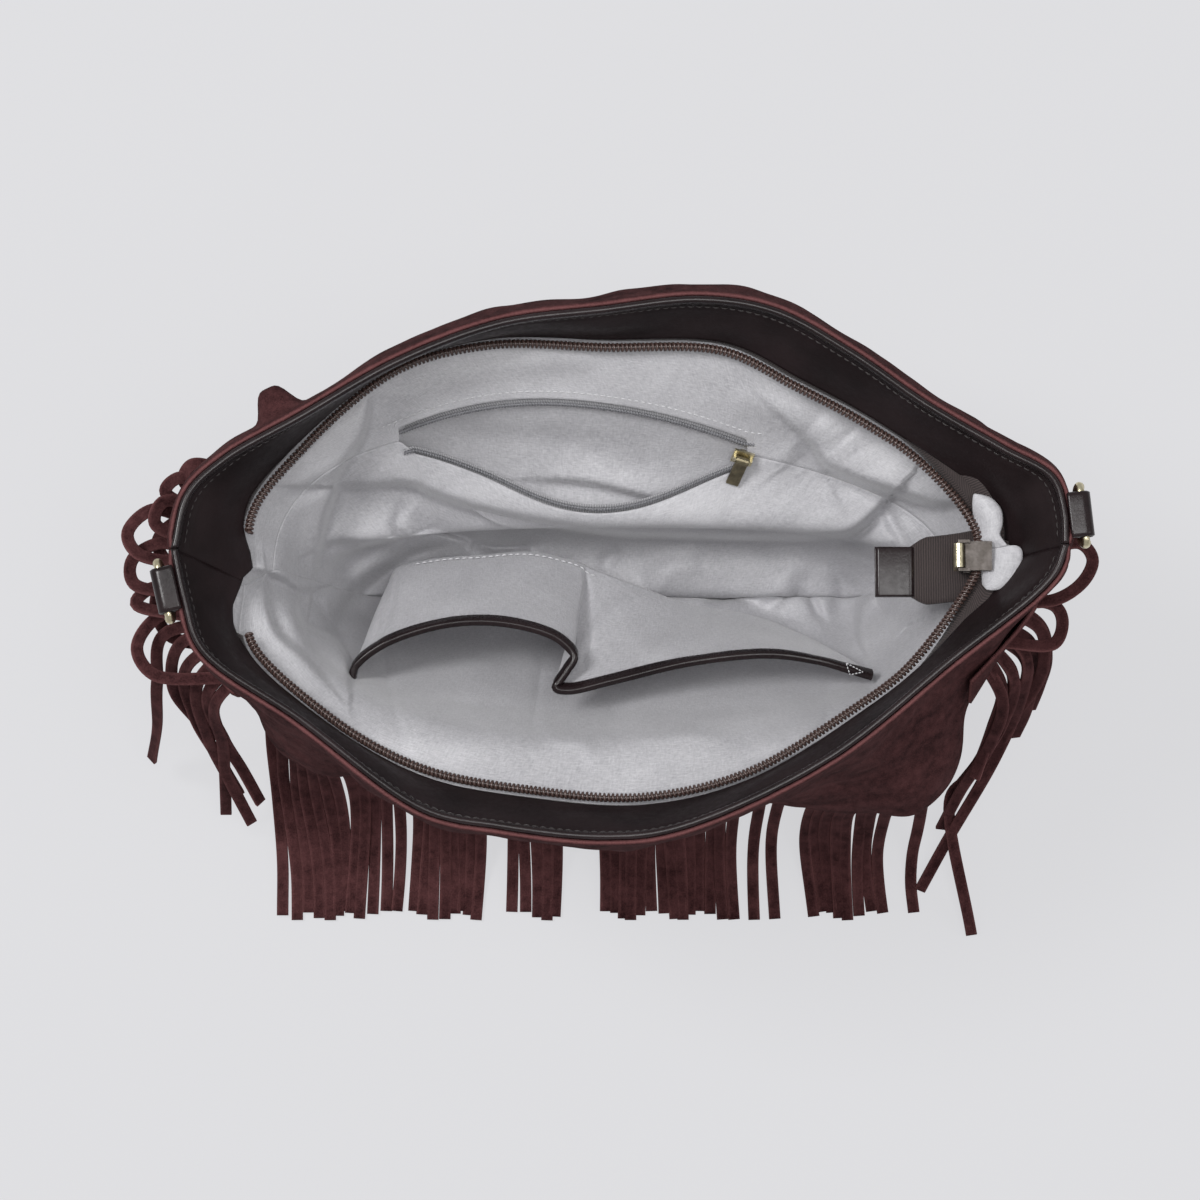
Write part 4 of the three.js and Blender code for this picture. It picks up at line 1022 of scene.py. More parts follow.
@dataclass
class Studio:
    """Camera almost straight over the bag, pale floor and soft light."""

    eye: tuple[float, float, float] = (-7.3, -147.5, 1531.6)
    tilt: float = 6.0
    focal_pixels: float = 3549.0
    picture: float = 1200.0
    sensor: float = 36.0

    def pixels(self, points: Array) -> Array:
        """Where points show in the picture.

        A point's offset from the eye along right and up, over its depth, times the focal length.

        Args:
            points: points in millimetres.

        Returns:
            Across and down from the picture's upper left corner.
        """
        a = math.radians(self.tilt)
        away = points - np.array(self.eye)
        depth = away @ np.array([0, math.sin(a), -math.cos(a)])
        up = away @ np.array([0, math.cos(a), math.sin(a)])
        across = self.picture / 2 + self.focal_pixels * away[..., 0] / depth
        return np.stack([across, self.picture / 2 - self.focal_pixels * up / depth], -1)

    def place(self, spots: Array, z: Array) -> Array:
        """Points at given heights that show at spots of the picture.

        Each lies on the ray from the eye through its spot, where the ray reaches the height.

        Args:
            spots: across and down from the picture's upper left corner.
            z: heights in millimetres.

        Returns:
            Points in millimetres.
        """
        a = math.radians(self.tilt)
        across = (spots[..., :1] - self.picture / 2) / self.focal_pixels
        up = (self.picture / 2 - spots[..., 1:]) / self.focal_pixels
        ray = np.array([0, math.sin(a), -math.cos(a)]) + across * np.array([1.0, 0, 0])
        ray = ray + up * np.array([0, math.cos(a), math.sin(a)])
        return np.array(self.eye) + ray * ((z - self.eye[2]) / ray[..., 2])[..., None]

    def camera(self) -> None:
        """Makes the camera and gives it to the scene."""
        data = bpy.data.cameras.new("camera")
        data.sensor_width = self.sensor
        data.lens = self.focal_pixels * self.sensor / self.picture
        data.clip_start, data.clip_end = 0.05, 20.0
        made = bpy.data.objects.new("camera", data)
        made.location = [x * METRES for x in self.eye]
        made.rotation_euler = (math.radians(self.tilt), 0, 0)
        bpy.context.scene.collection.objects.link(made)
        bpy.context.scene.camera = made

    def floor(self) -> None:
        """Makes a wide plain floor under the bag."""
        half = 6000.0
        corners = np.array([[-half, -half, 0], [half, -half, 0], [half, half, 0], [-half, half, 0]])
        mesh = bpy.data.meshes.new("floor")
        mesh.from_pydata((corners * METRES).tolist(), [], [(0, 1, 2, 3)])
        mesh.materials.append(FloorFinish().material())
        made = bpy.data.objects.new("floor", mesh)
        made.location.z = -0.0005
        bpy.context.scene.collection.objects.link(made)

    def lamp(self, name: str, place: tuple[float, float, float], size: float, power: float) -> None:
        """Adds a square soft lamp that looks at the middle of the bag."""
        data = bpy.data.lights.new(name, "AREA")
        data.size, data.energy = size, power
        made = bpy.data.objects.new(name, data)
        where = np.array(place)
        back = unit(where - np.array([0, 0, 0.15]))
        side = unit(np.cross([0.01, 1.0, 0.0], back))
        turn = Matrix(np.stack([side, np.cross(back, side), back], 1).tolist()).to_4x4()
        made.matrix_world = Matrix.Translation(place) @ turn
        bpy.context.scene.collection.objects.link(made)

    def light(self) -> None:
        """Soft light from above and both sides, with an even pale surround."""
        self.lamp("key_lamp", (-1.0, 0.35, 2.1), 0.6, 30)
        self.lamp("top_lamp", (0.25, -0.15, 2.6), 1.0, 26)
        self.lamp("right_lamp", (1.9, -0.3, 1.7), 0.9, 5)
        world = bpy.data.worlds.new("surround")
        world.use_nodes = True
        world.node_tree.nodes["Background"].inputs["Color"].default_value = (1, 1, 1, 1)
        world.node_tree.nodes["Background"].inputs["Strength"].default_value = 0.42
        bpy.context.scene.world = world
        bpy.context.scene.view_settings.view_transform = "Standard"

    def build(self) -> None:
        """Makes the whole studio."""
        self.camera()
        self.floor()
        self.light()


# Shell


def ripple(u: Array, v: Array, seed: int, waves: int = 7, longest: float = 90.0) -> Array:
    """Soft uneven heights between about -1 and 1: a sum of sines in chance directions, bent by others.

    Args:
        u: lengths one way.
        v: lengths the other way.
        seed: start of the chance numbers.
        waves: how many sines are added.
        longest: the longest wave.

    Returns:
        Heights, the same shape as u.
    """
    chance = np.random.default_rng(seed)
    total = np.zeros(np.broadcast(u, v).shape)
    bend_u, bend_v = u, v
    for k in range(waves):
        angle, phase = chance.uniform(0, np.pi), chance.uniform(0, 2 * np.pi)
        wave = 2 * np.pi / (longest * 0.72**k)
        x = wave * (bend_u * math.cos(angle) + bend_v * math.sin(angle)) + phase
        total += np.sin(x) * 0.78**k
        bend_u = bend_u + 3.0 * 0.8**k * np.sin(wave * bend_v * 0.7 + phase)
        bend_v = bend_v + 3.0 * 0.8**k * np.cos(wave * bend_u * 0.7 + phase)
    return total / 2.2


@dataclass
class Shell:
    """Suede walls and base of the bag."""

    form: BagForm
    thickness: float = 1.8
    panel_edge: float = 98.0
    lap: float = 12.0
    fringe_layer: float = 2.1
    strand_thickness: float = 1.6
    seam_share: float = 0.00077
    columns: int = 300
    sag: float = 1.7
    bump_place: float = 0.918
    bump_share: float = 0.0095
    bump_height: float = 218.0

    def depth_below(self, z: Array) -> Array:
        """How far the lower front panel lies inside the wall's face: all of it over the lower level."""
        layer = self.fringe_layer + self.strand_thickness + self.form.cloth_gap
        span = self.form.lower_height - self.form.wall_bottom
        return -layer * smooth_step((z - self.form.wall_bottom) / span)

    def softness(self, s: Array, z: Array) -> Array:
        """Sag of the suede along its normal: broad ripples that fade out at the rim and the base."""
        length = s * 2 * self.form.half_round
        fade = smooth_step((self.form.wall_top(s) - z - 4) / 40) * smooth_step(
            (z - self.form.wall_bottom) / 30
        )
        seam = np.minimum(np.abs(s - np.round(2 * s) / 2) * 2 * self.form.half_round / 5, 1)
        bump = np.exp(-(((s - self.bump_place) / self.bump_share) ** 4) - ((z - self.bump_height) / 9) ** 2)
        return self.sag * fade * ripple(length, z * 0.55, 11) - 1.1 * (1 - smooth_step(seam)) + 11 * bump

    def panel(
        self, span: tuple[float, float], top: float, bottom: float, depth: Callable[[Array], Array], rows: int
    ) -> Part:
        """A panel of the wall from one height down to another.

        Args:
            span: its first and last place round the bag.
            top: its upper height, or a height above the rim for the cut edge there.
            bottom: its lower height.
            depth: gives the distance of its outer face from the wall's at a height.
            rows: how many rows of points it has.

        Returns:
            The panel as a sheet.
        """
        s = grid(span[0], span[1], self.columns)[:, None]
        high = np.minimum(top, self.form.wall_top(s))
        share = grid(0, 1, rows)[None]
        z = mix(high, bottom, share)
        s = np.broadcast_to(s, z.shape)
        off = depth(z) + self.softness(s, z)
        nap_edge = 0.35 * ripple(s * 1044, z * 0 + 3, 5, 9, 16)
        z = z + nap_edge * (1 - smooth_step(share * rows / 2.0)) * (top > self.form.height)
        return slab(self.form.on_wall(s, z, off), self.form.on_wall(s, z, off - self.thickness))

    def base_plate(self) -> Part:
        """Flat base: rings drawn in towards the middle, with a soft edge."""
        s = grid(0, 1, 161)[:-1]
        out, ring = self.form.base_ring.outward(s), self.form.base_ring.at(s)
        middle = ring.mean(0)
        low = [(0.02, 0.0), (0.4, 0.0), (0.8, 0.0), (0.985, 0.0)]
        high = [(0.985, 2.4), (0.8, 2.4), (0.4, 2.4), (0.02, 2.4)]
        rows = [mix(middle, ring, share) + [0, 0, z] for share, z in low]
        rows += [ring - out * 0.4 + [0, 0, 0.3], ring + [0, 0, 1.2], ring - out * 0.4 + [0, 0, 2.2]]
        rows += [mix(middle, ring, share) + [0, 0, z] for share, z in high]
        return tube(np.stack(rows))

    def build(self, wardrobe: Wardrobe) -> None:
        """Makes the panels and the base."""
        front = (self.seam_share, 0.5 - self.seam_share)
        back = (0.5 + self.seam_share, 1 - self.seam_share)
        over, top = self.form.height + 20, self.panel_edge + self.lap
        flat = np.zeros_like
        upper = self.panel(front, over, self.panel_edge, flat, 90)
        lower = self.panel(front, top, self.form.wall_bottom, self.depth_below, 64)
        behind = self.panel(back, over, self.form.wall_bottom, flat, 130)
        piece("suede_front_upper", upper, wardrobe.suede, ["front_upper_panel"])
        piece("suede_front_lower", lower, wardrobe.suede, ["front_lower_panel"])
        piece("suede_back", behind, wardrobe.suede, ["back_panel"])
        piece("suede_base", self.base_plate(), wardrobe.suede, ["base_panel"])
        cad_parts["base_board"].data.materials.clear()
        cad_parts["base_board"].data.materials.append(wardrobe.board)


# Rim


@dataclass
class Rim:
    """Leather facing inside the rim, with its rolled binding and its row of stitches."""

    form: BagForm
    seam_share: float = 0.0002
    left_wave: tuple[tuple[float, float], ...] = (
        (-38, 0), (-24, 2), (-15, 6), (-8, 6.5), (-2, 1), (4, -1), (12, -3.5), (20, -3), (30, 0)
    )
    right_wave: tuple[tuple[float, float], ...] = (
        (-36, 0), (-24, -3), (-12, -1), (-2, 0), (3, 3), (8, 5), (14, 2.5), (22, 3), (34, 0)
    )
    stitch_drop: float = 3.4
    stitch_pitch: float = 3.1

    def facing(self, span: tuple[float, float]) -> Part:
        """The band from the binding to the zip, bulging a little between."""
        s = grid(span[0], span[1], 260)[:, None]
        foot, fall, rise = self.form.facing_frame(s)
        width = np.linalg.norm(foot - self.form.facing_top(s), axis=-1)
        share = grid(0, 1, 26)[None]
        length = (s + 0.5 - np.floor(s + 0.5) - 0.5) * 2 * self.form.half_round
        wave = np.interp(length, *zip(*self.left_wave)) + np.interp(
            length % (2 * self.form.half_round) - self.form.half_round, *zip(*self.right_wave)
        )
        down = -width * (1 - share) + wave * smooth_step((share - 0.5) * 2)
        s = np.broadcast_to(s, down.shape)
        bulge = 0.9 * np.sin(np.pi * share) ** 2 * (0.5 + ripple(s * 1044, down, 23, 6, 140))
        groove = -0.35 * np.exp(-(((down + width - self.stitch_drop) / 0.9) ** 2))
        lift = bulge * (1 - smooth_step((share - 0.75) * 4)) + groove
        t = self.form.facing_thickness
        return slab(self.form.on_facing(s, down, lift), self.form.on_facing(s, down, lift - t), 0.0)

    def roll(self, span: tuple[float, float]) -> Part:
        """The binding: a soft-topped roll carried along the rim."""
        s = grid(span[0], span[1], 420)
        width, height, stand = self.form.binding
        foot = self.form.rim_height(s) + stand - height
        line = self.form.rim.at(s)
        line[:, 2] = foot + height / 2
        profile = oval(width * 1.06, height, 18, 0.72)
        up = np.broadcast_to([0.0, 0.0, 1.0], line.shape)
        return swept(line, self.form.rim.outward(s), up, profile)

    def seam(self, span: tuple[float, float]) -> Part:
        """The row of stitches along the facing, a little inside the binding."""
        s = grid(span[0] + 0.004, span[1] - 0.004, 400)
        foot, fall, _ = self.form.facing_frame(s)
        width = np.linalg.norm(foot - self.form.facing_top(s), axis=-1)
        line = Route(self.form.on_facing(s, self.stitch_drop - width, 0.0 * s))

        def rise(share: Array) -> Array:
            """The facing's own rise at shares of the row."""
            return self.form.facing_frame(mix(s[0], s[-1], share))[2]

        return stitches(line, rise, self.stitch_pitch, 0.5, -0.1)

    def build(self, wardrobe: Wardrobe) -> None:
        """Makes facing, binding and stitches of both sides."""
        spans = {
            "front": (self.seam_share, 0.5 - self.seam_share),
            "back": (0.5 + self.seam_share, 1 - self.seam_share)
        }
        for side, span in spans.items():
            piece(
                f"leather_facing_{side}", self.facing(span), wardrobe.leather, [f"facing_{side}"]
            )
            piece(
                f"rolled_binding_{side}", self.roll(span), wardrobe.edge_leather,
                [f"edge_binding_{side}"]
            )
            piece(f"facing_stitches_{side}", self.seam(span), wardrobe.dark_thread)


# Main zip


def coil_helix(
    centre: Array, reach: Array, rise: Array, radius: float, wire: float, pitch: float, sides: int = 5
) -> Part:
    """A zip's coil: a wire wound round a line, flattened a little, one turn for each tooth.

    Args:
        centre: dense line along the middle of the coil.
        reach: unit vectors across it.
        rise: unit vectors off its tape.
        radius: from the line to the wire's middle.
        wire: the wire's radius.
        pitch: length of a turn.
        sides: sides of the wire.

    Returns:
        The coil.
    """
    length = np.concatenate([[0], np.cumsum(np.linalg.norm(np.diff(centre, axis=0), axis=1))])
    steps = int(length[-1] / pitch * 11)
    x = np.linspace(0, length[-1], steps)

    def read(values: Array) -> Array:
        """Values along the line at the places of the wire's points."""
        return np.stack([np.interp(x, length, column) for column in values.T], -1)

    turn = 2 * np.pi * x / pitch
    wave_x, wave_y = np.cos(turn)[:, None], np.sin(turn)[:, None]
    line = read(centre) + unit(read(reach)) * wave_x * radius + unit(read(rise)) * wave_y * radius * 0.9
    across, off = turned_frames(line, np.array([0.03, 0.05, 1.0]))
    return swept(line, across, off, oval(2 * wire, 2 * wire, sides))


@dataclass
class MainZip:
    """Coil zip of the mouth, open, with its slider, folded tail and end tab."""

    form: BagForm
    left_start: float = 22.0
    seam_share: float = 0.00077
    tuck: float = 8.0
    wire: float = 0.58
    pitch: float = 1.62
    coil_shift: float = 1.2
    coil_lift: float = 0.9

    def tape(self, span: tuple[float, float], side: int) -> Part:
        """Tape from under the facing past the coil's foot, as a sheet of four strips."""
        s = grid(span[0], span[1], 320)
        layer, t = self.form.tape_layer, self.form.tape_thickness
        radius = self.form.coil_radius
        reach, rise = self.form.coil_frame(s, side)
        centre = self.form.coil_centre(s, side)

        def face(sink: float) -> Array:
            """One face of the tape, rows from the tucked edge to the coil's far side."""
            low = rise * -(radius + self.form.cloth_gap + sink)
            tucked = self.form.on_facing(s, -self.tuck + 0 * s, -layer - sink + 0 * s)
            foot = self.form.on_facing(s, 0 * s, -layer - sink + 0 * s)
            free = self.form.near_slider(s)[:, None] ** 0.5
            rows = [
                mix(tucked, centre - reach * 8.5 + low, free), mix(foot, centre - reach * 5.5 + low, free)
            ]
            near, far = centre - reach * radius + low, centre + reach * radius + low
            rows += [mix(rows[1], near, 0.5), near, centre + low, far]
            return np.stack(rows, 1)

        return slab(face(0.0), face(t), 0.0)

    def coil(self, span: tuple[float, float], side: int) -> Part:
        """Coil wound along its line, with a cord inside it."""
        s = grid(span[0], span[1], 900)
        reach, rise = self.form.coil_frame(s, side)
        away = 1 - self.form.near_slider(s)[:, None]
        centre = self.form.coil_centre(s, side) + (reach * self.coil_shift + rise * self.coil_lift) * away
        radius = self.form.coil_radius + 0.25
        helix = coil_helix(centre, reach, rise, radius - self.wire, self.wire, self.pitch)
        core = swept(centre[::3], reach[::3], rise[::3], oval(1.7, 1.5, 8))
        return joined([helix, core])

    def tail(self) -> Part:
        """Folded tape that turns under the slider and runs back to its end tab."""
        home = self.form.slider_point()
        points = [(13, -4.1), (9.5, -4.3), (7.6, -7), (4, -12), (-3, -16.5), (-12, -19), (-27, -20)]
        route = Route(spline([(x, 0, z) for x, z in points], 20))
        u = grid(0, 1, 44)
        along = route.tangent(u)
        normal = np.stack([-along[:, 2], 0 * u, along[:, 0]], 1)
        half = mix(6.0, 12.5, smooth_step(3 * u))
        half = mix(half, 7.5, smooth_step(4 * u - 3))
        across = grid(-1, 1, 15)
        middle = route.at(u)[:, None] + home + np.array([0, -3.5, 0]) * smooth_step(u)[:, None, None]
        point = middle + np.array([0, 1, 0]) * (half[:, None] * across[None])[..., None]
        crease = 0.8 * np.cos(3.2 * across[None] + 5 * u[:, None]) * np.sin(np.pi * u)[:, None]
        lift = normal[:, None] * crease[..., None]
        return slab(point + lift + normal[:, None] * 0.8, point + lift - normal[:, None] * 0.8, 0.0)

    def end_tab(self) -> Part:
        """Leather folded round the tail's end: a rounded slab with a raised front edge."""
        home = self.form.slider_point()
        x = grid(-36, -21, 26)
        edge = np.minimum(1, np.minimum(x + 36, -21 - x) / 1.1)
        thick = 1.9 * np.clip(edge, 0.05, 1) ** 0.5 + 0.25 * np.exp(-(((x + 22) / 0.8) ** 2))
        profile = oval(19.0, 2.0, 40, 0.16)
        rings = np.stack(
            [
                np.broadcast_to(x[:, None], (26, 40)), np.broadcast_to(profile[:, 0], (26, 40)),
                thick[:, None] * profile[:, 1]
            ],
            -1
        )
        rings[..., 2] += -20 + 0.35 * np.cos(rings[..., 1] / 6)
        return tube(rings + home + [0, -3.5, 0])

    def build(self, wardrobe: Wardrobe) -> None:
        """Makes tapes, coils, tail and tab, and finishes the slider and its puller."""
        start = self.left_start / (2 * self.form.half_round)
        spans = {
            "front": ((start, 0.5 - self.seam_share), -1), "back": ((0.5 + self.seam_share, 1 - start), 1)
        }
        for name, (span, side) in spans.items():
            piece(f"woven_tape_{name}", self.tape(span, side), wardrobe.tape, [f"zip_tape_{name}"])
            piece(f"wound_coil_{name}", self.coil(span, side), wardrobe.coil, [f"zip_coil_{name}"])
        piece("folded_tail", self.tail(), wardrobe.tape, ["zip_tail"])
        piece("leather_end_tab", self.end_tab(), wardrobe.edge_leather, ["zip_end_tab"])
        finish_metal("zip_slider", wardrobe.gunmetal)
        finish_metal("zip_puller", wardrobe.brass)


def finish_metal(node: str, material: bpy.types.Material) -> None:
    """Gives a metal solid its finish and soft edges."""
    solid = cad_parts[node]
    solid.data.materials.clear()
    solid.data.materials.append(material)
    weld = solid.modifiers.new("weld", "WELD")
    weld.merge_threshold = 0.00001
    edge = solid.modifiers.new("edge", "BEVEL")
    edge.width, edge.segments, edge.limit_method = 0.0002, 2, "ANGLE"


# Lining


class FoldKind(Enum):
    """How a fold stands out of the cloth."""

    RIDGE = "ridge"
    STEP = "step"


@dataclass(frozen=True)
class Fold:
    """A fold of the lining, drawn as a line in the picture.

    A ridge is highest on its line and falls off to both sides. A step is high on the right hand of
    its line and low on the left, and levels out over its reach. Both fade towards the line's ends.
    """

    line: tuple[tuple[float, float], ...]
    width: float
    height: float
    kind: FoldKind = FoldKind.RIDGE
    reach: float = 30.0

    def lift(self, spots: Array) -> Array:
        """Height of the fold at spots of the picture, in millimetres."""
        total = np.zeros(spots.shape[:-1])
        margin = 2.5 * (self.width if self.kind is FoldKind.RIDGE else self.reach)
        low, high = np.min(self.line, 0) - margin, np.max(self.line, 0) + margin
        inside = np.all((spots > low) & (spots < high), -1)
        near_spots = spots[inside]
        dense = Route(spline(self.line, 8)).at(np.linspace(0, 1, 5 * len(self.line)))
        best, side, place = (np.full(len(near_spots), start) for start in (1e9, 0.0, 0.0))
        for k, (start, step) in enumerate(zip(dense[:-1], np.diff(dense, axis=0))):
            away = near_spots - start
            t = np.clip((away @ step) / (step @ step), 0, 1)
            off = away - t[..., None] * step
            distance = np.linalg.norm(off, axis=-1)
            closer = distance < best
            turn = step[0] * off[..., 1] - step[1] * off[..., 0]
            best = np.where(closer, distance, best)
            side = np.where(closer, np.sign(turn), side)
            place = np.where(closer, (k + t) / (len(dense) - 1), place)
        fade = np.sin(np.pi * np.clip(place, 0.02, 0.98)) ** 0.5
        if self.kind is FoldKind.RIDGE:
            shape = np.exp(-((best / self.width) ** 2))
        else:
            shape = np.exp(-((best / self.reach) ** 2)) * np.tanh(side * best / (0.5 * self.width))
        total[inside] = self.height * fade * shape
        return total


STEP = FoldKind.STEP
FOLDS = (
    Fold(
        ((336, 487), (362, 487), (409, 485), (432, 494), (473, 508), (511, 517), (560, 526), (607, 533))
        + ((703, 537), (782, 538), (835, 536), (856, 531), (884, 503)),
        6, -13.0, STEP, 46,
    ),
    Fold(
        ((371, 388), (365, 432), (352, 454), (335, 481), (336, 492), (329, 512), (320, 548), (313, 588)), 6,
        10.0, STEP, 40
    ),
    Fold(((315, 588), (300, 590), (285, 581), (270, 574), (248, 570)), 5, 6.0, STEP, 24),
    Fold(((340, 479), (310, 490), (278, 501)), 8, -3.5),
    Fold(((295, 560), (312, 530), (326, 505)), 12, 2.0),
    Fold(((318, 549), (336, 542), (371, 543), (392, 540), (404, 536)), 5, -5.5, STEP, 22),
    Fold(((394, 529), (400, 534), (408, 538)), 5, -3.0),
    Fold(((396, 530), (400, 514), (405, 500)), 6, -2.5),
    Fold(((408, 535), (385, 556), (355, 580), (333, 602), (325, 622)), 10, 5.5),
    Fold(((442, 545), (410, 557), (380, 579), (350, 604), (338, 626)), 6, -4.0),
    Fold(((404, 536), (432, 533), (455, 537), (476, 544)), 5, 4.5, STEP, 18),
    Fold(((470, 543), (490, 547), (512, 547), (532, 546)), 7, -11.0),
    Fold(((602, 573), (608, 560), (619, 547)), 9, -3.5),
    Fold(((650, 588), (668, 570), (700, 556)), 18, 4.0),
    Fold(((655, 594), (700, 597), (745, 605), (795, 622)), 9, -8.0),
    Fold(((703, 596), (716, 605), (731, 594)), 6, -4.0),
    Fold(((758, 616), (780, 603), (801, 589)), 5, -4.5),
    Fold(((799, 589), (812, 605), (826, 623)), 5, -4.0),
    Fold(((765, 596), (788, 578), (800, 560)), 13, 4.0),
    Fold(
        ((800, 434), (814, 448), (822, 463), (848, 477), (889, 491), (933, 505), (957, 506)), 6, -13.0,
        STEP, 38
    ),
    Fold(((835, 548), (856, 535), (886, 512)), 6, -3.5),
    Fold(((835, 548), (870, 556), (897, 562)), 6, -2.5),
    Fold(((850, 564), (880, 546), (906, 530)), 10, 3.0),
    Fold(((888, 496), (889, 517), (906, 544)), 6, -4.0),
    Fold(((835, 552), (843, 591), (832, 628)), 9, -4.0),
    Fold(((866, 556), (868, 588), (856, 622)), 10, 2.5),
    Fold(((880, 612), (908, 602), (935, 614), (926, 642)), 24, 8.0),
    Fold(((880, 588), (862, 600), (857, 632), (869, 664)), 7, -6.0, STEP, 24),
    Fold(((266, 574), (270, 612), (279, 634), (305, 656), (332, 688)), 5, 5.0, STEP, 18),
    Fold(((298, 591), (301, 621), (330, 637), (347, 656), (350, 690)), 5, 6.5, STEP, 22),
    Fold(((311, 589), (325, 615), (345, 642)), 6, -3.0),
    Fold(((536, 707), (557, 737), (582, 742), (597, 763)), 9, 2.5),
    Fold(((640, 738), (680, 733), (722, 737)), 8, 2.0),
    Fold(((866, 684), (830, 712), (788, 740)), 12, 4.5),
    Fold(((840, 720), (800, 745), (740, 770)), 9, -2.0),
    Fold(((370, 726), (430, 742), (500, 748)), 14, 2.5),
    Fold(((390, 700), (460, 685), (540, 695)), 46, 17.0),
    Fold(((610, 718), (720, 700), (830, 702)), 40, 13.0),
    Fold(((640, 575), (720, 572), (800, 575)), 20, 5.0),
    Fold(((750, 398), (800, 418), (860, 452)), 14, 3.0),
    Fold(((420, 392), (500, 366), (600, 360)), 12, 2.0),
)


@dataclass(frozen=True)
class Rail:
    """A line across a piece of cloth: where its two ends show in the picture, and their heights."""

    edge: tuple[float, float]
    edge_height: float
    foot: tuple[float, float]
    foot_height: float


def rail_lines(studio: "Studio", rails: Sequence[Rail], count: int) -> tuple[Array, Array]:
    """Smooth lines through the rails' ends, point by point together.

    Args:
        studio: gives the place of each end.
        rails: the lines across the cloth, in order.
        count: points on each line.

    Returns:
        The line of the edges and the line of the feet.
    """
    edge = studio.place(np.array([r.edge for r in rails]), np.array([r.edge_height for r in rails]))
    foot = studio.place(np.array([r.foot for r in rails]), np.array([r.foot_height for r in rails]))
    dense = spline(np.hstack([edge, foot]), 40)
    reach = Route(dense[:, :3]).reach
    x = np.linspace(0, reach[-1], count)
    both = np.stack([np.interp(x, reach, column) for column in dense.T], -1)
    return both[:, :3], both[:, 3:]


# About how many pixels of the picture a millimetre of cloth takes
PIXELS_PER_MM = 2.6
# Lines across the two lobes of cloth beside the slider, each from its outer edge to its inner one
UPPER_LOBE = (
    Rail((974, 494), 219, (974, 508), 217),
    Rail((991, 500), 219, (975, 518), 215),
    Rail((1000, 511), 219, (976, 526), 214),
    Rail((1001, 524), 219, (976, 534), 213),
    Rail((999, 535), 219, (975, 542), 213),
    Rail((1007, 545), 219, (975, 551), 213),
)
LOWER_LOBE = (
    Rail((1006, 544), 218.5, (976, 549), 212),
    Rail((1020, 549), 218.5, (976, 554), 212),
    Rail((1021, 561), 218.5, (976, 560), 212),
    Rail((1014, 577), 218.5, (979, 567), 213),
    Rail((1002, 587), 218.5, (983, 575), 215),
    Rail((987, 590), 218.5, (984, 584), 216),
)


def thickened(points: Array, depth: float) -> Array:
    """A grid of points sunk by a depth along its own normals."""
    normal = unit(np.cross(np.gradient(points, axis=0), np.gradient(points, axis=1)))
    return points - normal * depth


